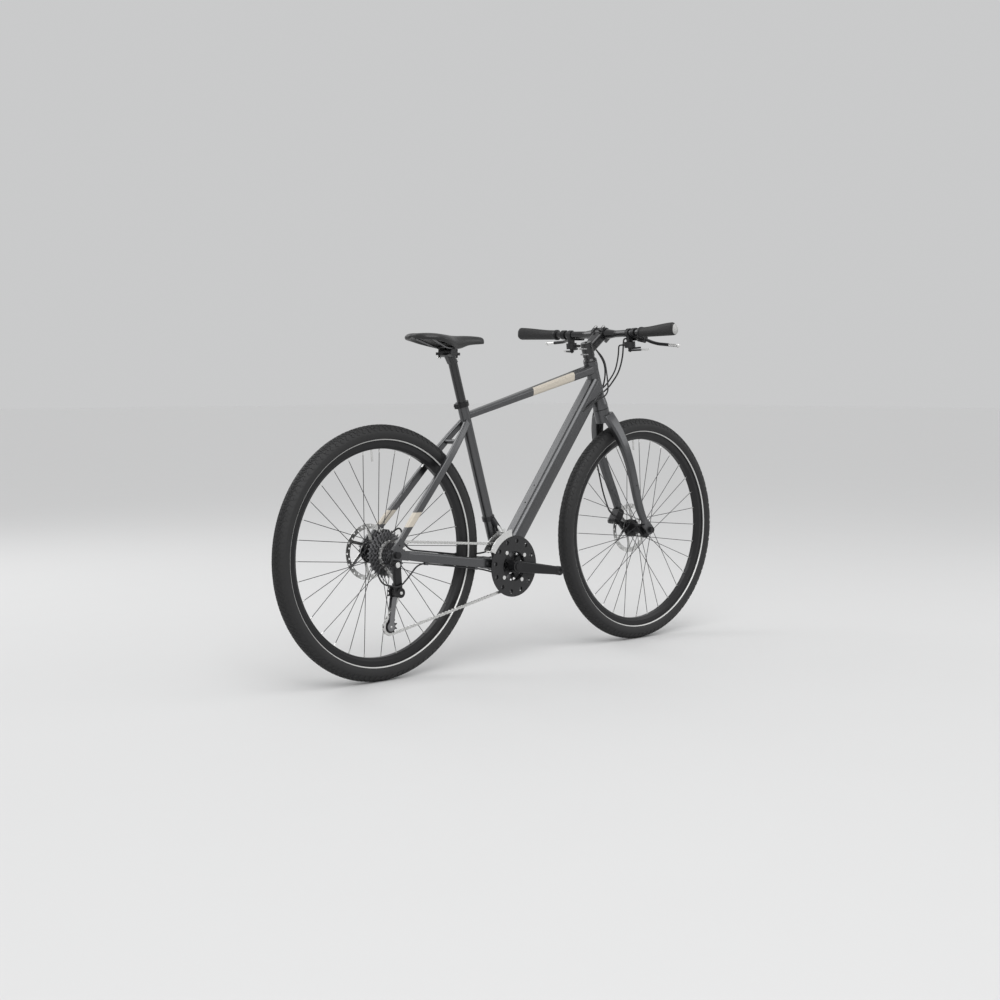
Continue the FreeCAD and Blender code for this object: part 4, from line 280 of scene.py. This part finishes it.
# Fittings that change colour along their length
boltFace = {"limits": [(origin, "Y", -0.2, -0.0902), ((-0.552, 0.0, 0.337), "Radius", -1.0, 0.0078)],
            **silver}
pivotFace = {"limits": [(origin, "Y", -0.2, -0.0775), ((-0.53, 0.0, 0.256), "Radius", -1.0, 0.0052)],
             **silver}
pinFaces = {"limits": [(origin, "Y", -0.0525, -0.03), ((-0.545, 0.0, 0.16), "Radius", -1.0, 0.003)],
            **silver}
cageBody = {"limits": [(origin, "Y", -0.0335, 0.1)], "colour": (0.03, 0.03, 0.032), "metallic": 0.4,
            "roughness": 0.35}
faceBolts = {"limits": [((0.362, 0.0, 0.9931), "Radius", 0.0243, 1.0)], "colour": (0.3, 0.3, 0.3),
             "metallic": 0.9, "roughness": 0.3}
leverTip = {"limits": [(origin, "Aside", 0.252, 1.0)], **silver}
thumbTip = {"limits": [(origin, "Aside", 0.163, 1.0)], **silver}
alloyLook = {"colour": (0.013, 0.013, 0.014), "metallic": 0.4, "roughness": 0.33, "edge": 0.0012}
cagePlates = {"limits": [(origin, "Y", -0.0526, -0.0395), (origin, "Z", 0.0, 0.243)],
              "colour": (0.2, 0.2, 0.205), "metallic": 0.85, "roughness": 0.34}
dress(makeMaterial("rearMech", alloyLook, [cagePlates, boltFace, pivotFace, pinFaces]), "rear_derailleur")
dress(makeMaterial("frontMech", {**silver, "edge": 0.0005}, [cageBody]), "front_derailleur")
dress(makeMaterial("faceplateBlack", alloyLook, [faceBolts]), "stem_faceplate")
dress(makeMaterial("leverBlack", alloyLook, [leverTip]), "left_brake_lever", "right_brake_lever")
dress(makeMaterial("thumbBlack", alloyLook, [thumbTip]), "left_thumb_lever", "right_thumb_lever")

# Wheels: black rims and spokes, silver nipples and valves
rimLook = {"colour": (0.012, 0.012, 0.013), "metallic": 0.35, "roughness": 0.36, "edge": 0.0006}
spokeLook = {"colour": (0.06, 0.06, 0.062), "metallic": 0.85, "roughness": 0.3, "edge": 0.0002}
tubeLook = {"colour": (0.02, 0.02, 0.02), "roughness": 0.6}
dress(makeMaterial("rimBlack", rimLook), "front_rim", "rear_rim")
for word, axle in axles.items():
    nipples = {"limits": [(axle, "Radius", 0.2836, 1.0)], **silver}
    valve = {"limits": [(axle, "Radius", 0.2, 0.3)], **silver}
    dress(makeMaterial(word + "Spokes", spokeLook, [nipples]), word + "_spokes")
    dress(makeMaterial(word + "Tube", tubeLook, [valve]), word + "_inner_tube")
print("fittings dressed")


# Mesh pieces made of rings of points, closed at both ends
mergeDistance = 1e-6


def ringPiece(name, rings, materials, parts=None):
    count = len(rings[0])
    mesh = bpy.data.meshes.new(name)
    points = [tuple(point) for ring in rings for point in ring]
    faces = []
    slots = []
    for number in range(len(rings) - 1):
        for step in range(count):
            following = (step + 1) % count
            faces.append((number * count + step, number * count + following,
                          (number + 1) * count + following, (number + 1) * count + step))
            slots.append(parts[number] if parts else 0)
    for number, order in ((0, -1), (len(rings) - 1, 1)):
        ring = rings[number]
        centre = len(points)
        points.append(tuple(sum(point[axis] for point in ring) / count for axis in range(3)))
        for step in range(count):
            following = (step + 1) % count
            corner = (number * count + step, number * count + following, centre)
            faces.append(corner if order > 0 else corner[::-1])
            slots.append((parts[0] if number == 0 else parts[-1]) if parts else 0)
    mesh.from_pydata(points, [], faces)
    for material in materials:
        mesh.materials.append(material)
    for polygon, slotNumber in zip(mesh.polygons, slots):
        polygon.material_index = slotNumber
        polygon.use_smooth = True
    return finishMesh(name, mesh)


def finishMesh(name, mesh):
    work = bmesh.new()
    work.from_mesh(mesh)
    bmesh.ops.remove_doubles(work, verts=work.verts, dist=mergeDistance)
    bmesh.ops.recalc_face_normals(work, faces=work.faces)
    work.to_mesh(mesh)
    work.free()
    mesh.update()
    made = bpy.data.objects.new(name, mesh)
    scene.collection.objects.link(made)
    return made


def bakeModifiers(made):
    graph = bpy.context.evaluated_depsgraph_get()
    baked = bpy.data.meshes.new_from_object(made.evaluated_get(graph))
    old = made.data
    made.modifiers.clear()
    made.data = baked
    bpy.data.meshes.remove(old)
    return made


# Tyres: a smooth carcass with rows of small slanted tread blocks and a thin pale stripe beside the rim
tyreSettings = {"centre": 0.337, "sidewall": 0.0249, "crown": 0.0233, "crownEdge": 66.0, "crownFade": 12.0,
                "foot": 142.0, "lip": 0.0108, "shelf": 0.3172, "bead": 0.3112, "steps": 192,
                "sectionSteps": 44,
                "rows": ((0.0, 0.0, 0.0), (13.5, 32.0, 0.0), (-13.5, -32.0, 0.0), (28.0, -32.0, 0.5),
                         (-28.0, 32.0, 0.5), (42.5, 32.0, 0.0), (-42.5, -32.0, 0.0)),
                "blocks": 150, "blockSize": (0.002, 0.0102, 0.0044), "blockHeight": 0.0236,
                "shoulderRows": ((59.0, -24.0, 0.0), (-59.0, 24.0, 0.0)), "shoulderBlocks": 110,
                "shoulderSize": (0.002, 0.0085, 0.0092), "stripe": (0.3184, 0.3213)}
stripeLook = {"colour": (0.6, 0.6, 0.59), "roughness": 0.35, "metallic": 0.2}
tyreLook = {"colour": (0.011, 0.011, 0.0115), "roughness": 0.6, "bump": 0.1, "bumpScale": 700.0,
            "edge": 0.0004}


def buildTreadRow():
    tree, start, end = newGroup(
        "treadRow", "GeometryNodeTree",
        [("Count", "NodeSocketInt", 150), ("Reach", "NodeSocketFloat", 0.36),
         ("Offset", "NodeSocketFloat", 0.0), ("Tilt", "NodeSocketFloat", 0.0),
         ("Skew", "NodeSocketFloat", 0.0), ("First", "NodeSocketFloat", 0.0),
         ("Size", "NodeSocketVector", (0.002, 0.01, 0.005))],
        [("Geometry", "NodeSocketGeometry")])
    block = addNode(tree, "GeometryNodeMeshCube")
    slant = addNode(tree, "GeometryNodeTransform")
    slantTurn = addNode(tree, "ShaderNodeCombineXYZ")
    lift = addNode(tree, "GeometryNodeTransform")
    liftPlace = addNode(tree, "ShaderNodeCombineXYZ")
    liftTurn = addNode(tree, "ShaderNodeCombineXYZ")
    points = addNode(tree, "GeometryNodePoints")
    index = addNode(tree, "GeometryNodeInputIndex")
    step = addNode(tree, "ShaderNodeMath", operation="DIVIDE")
    angle = addNode(tree, "ShaderNodeMath", {1: math.tau}, operation="MULTIPLY")
    phased = addNode(tree, "ShaderNodeMath", operation="ADD")
    turn = addNode(tree, "ShaderNodeCombineXYZ")
    spread = addNode(tree, "GeometryNodeInstanceOnPoints")
    tree.links.new(start.outputs["Size"], block.inputs["Size"])
    tree.links.new(block.outputs["Mesh"], slant.inputs["Geometry"])
    tree.links.new(start.outputs["Skew"], slantTurn.inputs["X"])
    tree.links.new(slantTurn.outputs["Vector"], slant.inputs["Rotation"])
    tree.links.new(slant.outputs["Geometry"], lift.inputs["Geometry"])
    tree.links.new(start.outputs["Reach"], liftPlace.inputs["X"])
    tree.links.new(start.outputs["Offset"], liftPlace.inputs["Z"])
    tree.links.new(start.outputs["Tilt"], liftTurn.inputs["Y"])
    tree.links.new(liftPlace.outputs["Vector"], lift.inputs["Translation"])
    tree.links.new(liftTurn.outputs["Vector"], lift.inputs["Rotation"])
    tree.links.new(start.outputs["Count"], points.inputs["Count"])
    tree.links.new(index.outputs["Index"], step.inputs[0])
    tree.links.new(start.outputs["Count"], step.inputs[1])
    tree.links.new(step.outputs[0], angle.inputs[0])
    tree.links.new(angle.outputs[0], phased.inputs[0])
    tree.links.new(start.outputs["First"], phased.inputs[1])
    tree.links.new(phased.outputs[0], turn.inputs["Z"])
    tree.links.new(points.outputs["Points"], spread.inputs["Points"])
    tree.links.new(lift.outputs["Geometry"], spread.inputs["Instance"])
    tree.links.new(turn.outputs["Vector"], spread.inputs["Rotation"])
    tree.links.new(spread.outputs["Instances"], end.inputs["Geometry"])
    return tree


def buildTread(settings):
    row = buildTreadRow()
    tree, start, end = newGroup(
        "tyreTread", "GeometryNodeTree",
        [("Carcass", "NodeSocketGeometry", None), ("Axle", "NodeSocketVector", (0.0, 0.0, 0.0)),
         ("Blocks around", "NodeSocketInt", settings["blocks"]),
         ("Block size", "NodeSocketVector", settings["blockSize"]),
         ("Shoulder blocks", "NodeSocketInt", settings["shoulderBlocks"]),
         ("Shoulder size", "NodeSocketVector", settings["shoulderSize"]),
         ("Rubber", "NodeSocketMaterial", None)],
        [("Tyre", "NodeSocketGeometry")])
    gather = addNode(tree, "GeometryNodeJoinGeometry")
    kinds = (("rows", "blocks", "Blocks around", "Block size"),
             ("shoulderRows", "shoulderBlocks", "Shoulder blocks", "Shoulder size"))
    for rows, blocks, countName, sizeName in kinds:
        for degrees, skew, phase in settings[rows]:
            turn = math.radians(degrees)
            made = addNode(tree, "GeometryNodeGroup", node_tree=row)
            height = settings["blockHeight"]
            made.inputs["Reach"].default_value = settings["centre"] + height * math.cos(turn)
            made.inputs["Offset"].default_value = height * math.sin(turn)
            made.inputs["Tilt"].default_value = -turn
            made.inputs["Skew"].default_value = math.radians(skew)
            made.inputs["First"].default_value = phase * math.tau / settings[blocks]
            tree.links.new(start.outputs[countName], made.inputs["Count"])
            tree.links.new(start.outputs[sizeName], made.inputs["Size"])
            tree.links.new(made.outputs["Geometry"], gather.inputs["Geometry"])
    place = addNode(tree, "GeometryNodeTransform", {"Rotation": (math.pi / 2, 0.0, 0.0)})
    whole = addNode(tree, "GeometryNodeJoinGeometry")
    real = addNode(tree, "GeometryNodeRealizeInstances")
    finish = addNode(tree, "GeometryNodeSetMaterial")
    tree.links.new(gather.outputs["Geometry"], place.inputs["Geometry"])
    tree.links.new(start.outputs["Axle"], place.inputs["Translation"])
    tree.links.new(start.outputs["Carcass"], whole.inputs["Geometry"])
    tree.links.new(place.outputs["Geometry"], whole.inputs["Geometry"])
    tree.links.new(whole.outputs["Geometry"], real.inputs["Geometry"])
    tree.links.new(real.outputs["Geometry"], finish.inputs["Geometry"])
    tree.links.new(start.outputs["Rubber"], finish.inputs["Material"])
    tree.links.new(finish.outputs["Geometry"], end.inputs["Tyre"])
    return tree


def tyreOutline(settings):
    outline = []
    for number in range(settings["sectionSteps"] + 1):
        degrees = settings["foot"] * (2 * number / settings["sectionSteps"] - 1)
        edge = min(1.0, max(0.0, (abs(degrees) - settings["crownEdge"]) / settings["crownFade"]))
        radius = settings["crown"] + (settings["sidewall"] - settings["crown"]) * edge
        turn = math.radians(degrees)
        outline.append((radius * math.sin(turn), settings["centre"] + radius * math.cos(turn)))
    outline += [(settings["lip"], settings["shelf"]), (settings["lip"], settings["bead"]),
                (-settings["lip"], settings["bead"]), (-settings["lip"], settings["shelf"])]
    return outline


def setInputs(modifier, values):
    for item in modifier.node_group.interface.items_tree:
        if item.item_type == "SOCKET" and item.in_out == "INPUT" and item.name in values:
            modifier[item.identifier] = values[item.name]


def tyrePiece(word, axle, settings, tree):
    outline = tyreOutline(settings)
    mesh = bpy.data.meshes.new(word + "TyreVisual")
    points = []
    faces = []
    for step in range(settings["steps"]):
        turn = math.tau * step / settings["steps"]
        for aside, reach in outline:
            points.append((axle[0] + reach * math.cos(turn), aside, axle[2] + reach * math.sin(turn)))
    count = len(outline)
    for step in range(settings["steps"]):
        following = (step + 1) % settings["steps"]
        for number in range(count):
            other = (number + 1) % count
            faces.append((step * count + number, step * count + other, following * count + other,
                          following * count + number))
    mesh.from_pydata(points, [], faces)
    for polygon in mesh.polygons:
        polygon.use_smooth = True
    made = finishMesh(word + "TyreVisual", mesh)
    stripe = {"limits": [(axle, "Radius", *settings["stripe"])], **stripeLook}
    rubber = makeMaterial(word + "Tyre", tyreLook, [stripe])
    tread = made.modifiers.new("tread", "NODES")
    tread.node_group = tree
    setInputs(tread, {"Axle": axle, "Rubber": rubber,
                      "Blocks around": settings["blocks"], "Block size": settings["blockSize"],
                      "Shoulder blocks": settings["shoulderBlocks"],
                      "Shoulder size": settings["shoulderSize"]})
    bakeModifiers(made)
    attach(made, word + "_wheel")
    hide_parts(word + "_tyre")
    return made


treadTree = buildTread(tyreSettings)
for word, axle in axles.items():
    tyrePiece(word, axle, tyreSettings, treadTree)
print("tyres done")

# Grips: round at the clamp ring, spreading into a palm wing at the outer end, with a pale end cap
gripSettings = {"barCentre": (0.361995, 0.0, 0.993112), "bend": 0.074, "end": 0.328, "sweep": 0.030,
                "rise": 0.004, "inner": 0.178, "outer": 0.334, "radius": 0.0153, "wing": 0.0098,
                "wingAngle": 108.0, "wingSpread": 0.62, "endRound": 0.0028, "roundFrom": 0.94,
                "ringRadius": 0.0168, "ringEnd": 0.187, "ringRound": 0.0008, "capLip": 0.0002,
                "capRadius": 0.0106, "capEnd": 0.3365, "capRound": 0.0008, "capWing": 0.004,
                "capEndWing": 0.0034, "steps": 40, "stations": 34}
gripRubber = makeMaterial("gripRubber", {"colour": (0.013, 0.013, 0.0135), "roughness": 0.56, "bump": 0.22,
                                         "bumpScale": 420.0, "edge": 0.0004})
gripCap = makeMaterial("gripCap", {"colour": (0.42, 0.42, 0.41), "roughness": 0.4, "edge": 0.0006})


def gripPoint(settings, half, side):
    share = max(0.0, half - settings["bend"]) / (settings["end"] - settings["bend"])
    centre = settings["barCentre"]
    return Vector((centre[0] - settings["sweep"] * share, side * half, centre[2] + settings["rise"] * share))


def gripRing(settings, half, side, radius, wing):
    centre = gripPoint(settings, half, side)
    ring = []
    for step in range(settings["steps"]):
        turn = math.tau * step / settings["steps"]
        away = (turn - math.radians(settings["wingAngle"]) + math.pi) % math.tau - math.pi
        reach = radius + wing * math.exp(-(away / settings["wingSpread"]) ** 2)
        ring.append(centre + Vector((reach * math.cos(turn), 0.0, reach * math.sin(turn))))
    return ring


def gripPiece(word, side, settings):
    rings = []
    parts = []
    ringRadius, ringRound = settings["ringRadius"], settings["ringRound"]
    for half, radius in ((settings["inner"], ringRadius - ringRound),
                         (settings["inner"] + ringRound, ringRadius),
                         (settings["ringEnd"] - ringRound, ringRadius),
                         (settings["ringEnd"], ringRadius - ringRound)):
        rings.append(gripRing(settings, half, side, radius, 0.0))
        parts.append(1)
    run = settings["outer"] - settings["ringEnd"]
    for number in range(settings["stations"] + 1):
        share = number / settings["stations"]
        swell = share * share * (3 - 2 * share)
        late = max(0.0, (share - settings["roundFrom"]) / (1 - settings["roundFrom"]))
        rounding = settings["endRound"] * late ** 2
        half = settings["ringEnd"] + run * share
        rings.append(gripRing(settings, half, side, settings["radius"] - rounding,
                              settings["wing"] * swell - rounding * swell))
        parts.append(0)
    parts[-1] = 2
    rings.append(gripRing(settings, settings["outer"] + settings["capLip"], side, settings["capRadius"],
                          settings["capWing"]))
    parts.append(2)
    rings.append(gripRing(settings, settings["capEnd"], side, settings["capRadius"] - settings["capRound"],
                          settings["capEndWing"]))
    made = ringPiece(word + "GripVisual", rings, [gripRubber, blackAlloy, gripCap], parts)
    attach(made, "steering")
    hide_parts(word + "_grip")


for word, side in (("left", 1), ("right", -1)):
    gripPiece(word, side, gripSettings)
print("grips done")

# Saddle: a padded cover with a shallow channel along its middle
saddleSettings = {"tail": -0.4217, "length": 0.270, "base": 0.9448,
                  "shares": (0.0, 0.015, 0.06, 0.18, 0.33, 0.52, 0.75, 0.93, 0.985, 1.0),
                  "widths": (0.030, 0.068, 0.104, 0.146, 0.138, 0.084, 0.048, 0.040, 0.028, 0.010),
                  "thicknesses": (0.010, 0.015, 0.019, 0.023, 0.030, 0.038, 0.028, 0.022, 0.017, 0.008),
                  "tops": (0.0285, 0.0325, 0.0352, 0.0358, 0.033, 0.030, 0.031, 0.029, 0.0255, 0.0205),
                  "section": ((0.0, 0.95), (0.12, 0.965), (0.3, 1.0), (0.55, 0.975), (0.78, 0.87),
                              (0.93, 0.66), (1.0, 0.42), (0.98, 0.2), (0.93, 0.05), (0.87, 0.0),
                              (0.8, 0.08), (0.72, 0.3), (0.45, 0.44), (0.0, 0.46)),
                  "stations": 44}
saddleCover = makeMaterial("saddleCover", {"colour": (0.013, 0.013, 0.0135), "roughness": 0.4, "bump": 0.12,
                                           "bumpScale": 900.0, "edge": 0.0008, "spread": 0.06})


def valueAt(share, shares, values):
    for number in range(len(shares) - 1):
        if share <= shares[number + 1]:
            part = (share - shares[number]) / (shares[number + 1] - shares[number])
            before = values[max(number - 1, 0)]
            low, high = values[number], values[number + 1]
            after = values[min(number + 2, len(values) - 1)]
            run = shares[number + 1] - shares[number]
            slopeLow = (high - before) / (shares[number + 1] - shares[max(number - 1, 0)]) * run
            slopeHigh = (after - low) / (shares[min(number + 2, len(values) - 1)] - shares[number]) * run
            return ((2 * part ** 3 - 3 * part ** 2 + 1) * low + (part ** 3 - 2 * part ** 2 + part) * slopeLow
                    + (3 * part ** 2 - 2 * part ** 3) * high + (part ** 3 - part ** 2) * slopeHigh)
    return values[-1]


def saddlePiece(settings):
    rings = []
    for number in range(settings["stations"] + 1):
        share = 0.5 - 0.5 * math.cos(math.pi * number / settings["stations"])
        width = valueAt(share, settings["shares"], settings["widths"])
        thick = valueAt(share, settings["shares"], settings["thicknesses"])
        top = settings["base"] + valueAt(share, settings["shares"], settings["tops"])
        along = settings["tail"] + settings["length"] * share
        half = [(aside * width / 2, top - thick + rise * thick) for aside, rise in settings["section"]]
        outline = half + [(-aside, rise) for aside, rise in half[-2:0:-1]]
        rings.append([(along, aside, rise) for aside, rise in outline])
    made = ringPiece("saddleVisual", rings, [saddleCover])
    smooth = made.modifiers.new("smooth", "SUBSURF")
    smooth.levels = 1
    bakeModifiers(made)
    for polygon in made.data.polygons:
        polygon.use_smooth = True
    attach(made, "seat")
    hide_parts("saddle")


saddlePiece(saddleSettings)
print("saddle done")

# Two clamp bolts fore and aft of the seatpost head, with the ears that carry them
clampSettings = {"centre": (-0.2857, 0.0, 0.9225), "reach": 0.034, "earHalfWidth": 0.009,
                 "earThickness": 0.008, "earEnd": 0.009, "shank": 0.0028, "head": 0.0052, "headRound": 0.0006,
                 "low": 0.9075, "neck": 0.9135, "high": 0.9405, "steps": 24}


def roundRing(centre, height, radius, steps):
    turns = [math.tau * step / steps for step in range(steps)]
    return [(centre[0] + radius * math.cos(turn), radius * math.sin(turn), height) for turn in turns]


def clampPieces(settings):
    middle = settings["centre"]
    reach, half = settings["reach"], settings["earHalfWidth"]
    low = middle[2] - settings["earThickness"] / 2
    high = middle[2] + settings["earThickness"] / 2
    for word, side in (("Front", 1), ("Rear", -1)):
        place = (middle[0] + side * reach, 0.0)
        levels = ((settings["low"], settings["head"] - settings["headRound"]),
                  (settings["low"] + settings["headRound"], settings["head"]),
                  (settings["neck"], settings["head"]), (settings["neck"], settings["shank"]),
                  (settings["high"], settings["shank"]))
        bolt = ringPiece("post" + word + "Bolt", [roundRing(place, level, radius, settings["steps"])
                                                  for level, radius in levels], [boltSilver])
        ear = []
        for along, width in ((0.0, half), (reach, half), (reach + settings["earEnd"], half / 2)):
            across = middle[0] + side * along
            ear.append([(across, -width, low), (across, width, low),
                        (across, width, high), (across, -width, high)])
        holder = ringPiece("post" + word + "Ear", ear, [blackAlloy])
        for polygon in holder.data.polygons:
            polygon.use_smooth = False
        for made, slotName in ((bolt, "steel"), (holder, "black_alloy")):
            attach(made, "seat")


clampPieces(clampSettings)
print("seat clamp bolts done")

# Gear cables and rear hose: the same routes, with their front part cut into short segments
cableSettings = {"longest": 0.012, "front": 0.16, "cuts": 6, "start": (0.3, 0.0, 0.765),
                 "end": (0.385, 0.0, 0.925)}


def cablePiece(settings):
    mesh = nodes["frame_cables"].data.copy()
    mesh.name = "frameCablesVisual"
    work = bmesh.new()
    work.from_mesh(mesh)
    for number in range(settings["cuts"]):
        wanted = [edge for edge in work.edges if edge.calc_length() > settings["longest"]
                  and max(vert.co.x for vert in edge.verts) > settings["front"]]
        if not wanted:
            break
        bmesh.ops.subdivide_edges(work, edges=wanted, cuts=1)
    bmesh.ops.triangulate(work, faces=work.faces)
    work.to_mesh(mesh)
    work.free()
    mesh.materials.clear()
    mesh.materials.append(cableSkin)
    made = bpy.data.objects.new("frameCablesVisual", mesh)
    scene.collection.objects.link(made)
    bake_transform(made)
    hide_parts("frame_cables")


cablePiece(cableSettings)
print("cables done")

# Pale floor, soft light and the camera at the photograph's viewing angle
stageSettings = {"floor": (0.62, 0.62, 0.62), "world": (0.95, 0.955, 0.96), "strength": 0.62, "size": 90.0,
                 "target": (0.0, 0.0, 0.5)}
floorMesh = bpy.data.meshes.new("floor")
half = stageSettings["size"] / 2
floorMesh.from_pydata([(-half, -half, 0.0), (half, -half, 0.0), (half, half, 0.0), (-half, half, 0.0)], [],
                      [(0, 1, 2, 3)])
floorMesh.materials.append(makeMaterial("floorPale", {"colour": stageSettings["floor"], "roughness": 0.75,
                                                      "scale": 4.0, "edge": 0.0}))
floor = bpy.data.objects.new("floor", floorMesh)
scene.collection.objects.link(floor)
world = bpy.data.worlds.new("studio")
world.use_nodes = True
sky = world.node_tree.nodes["Background"]
sky.inputs["Color"].default_value = (*stageSettings["world"], 1.0)
sky.inputs["Strength"].default_value = stageSettings["strength"]
scene.world = world
target = Vector(stageSettings["target"])
lampSettings = (("keyLamp", (-3.0, -3.6, 3.4), 2.4, 62.0), ("fillLamp", (3.6, -3.0, 2.4), 2.4, 30.0),
                ("backLamp", (-1.0, 3.8, 3.0), 2.4, 40.0), ("topLamp", (0.3, -0.4, 4.4), 2.8, 20.0))
for name, place, size, power in lampSettings:
    lamp = bpy.data.lights.new(name, "AREA")
    lamp.size = size
    lamp.energy = power
    made = bpy.data.objects.new(name, lamp)
    made.location = place
    made.rotation_euler = (target - Vector(place)).to_track_quat("-Z", "Y").to_euler()
    scene.collection.objects.link(made)
daylightSettings = {"strength": 1.25, "spread": 50.0, "turn": (28.0, -22.0, 0.0)}
daylight = bpy.data.lights.new("daylight", "SUN")
daylight.energy = daylightSettings["strength"]
daylight.angle = math.radians(daylightSettings["spread"])
sun = bpy.data.objects.new("daylight", daylight)
sun.rotation_euler = [math.radians(degrees) for degrees in daylightSettings["turn"]]
scene.collection.objects.link(sun)
cameraSettings = {"place": (-3.2599, -3.3621, 0.8368), "yaw": 43.416, "pitch": -4.310, "lens": 55.58,
                  "sensor": 36.0}
lens = bpy.data.cameras.new("viewCamera")
lens.lens = cameraSettings["lens"]
lens.sensor_width = cameraSettings["sensor"]
lens.dof.use_dof = False
viewCamera = bpy.data.objects.new("viewCamera", lens)
viewCamera.location = cameraSettings["place"]
viewCamera.rotation_euler = (math.radians(90 + cameraSettings["pitch"]), 0.0,
                             math.radians(-cameraSettings["yaw"]))
scene.collection.objects.link(viewCamera)
scene.camera = viewCamera
print("stage done")
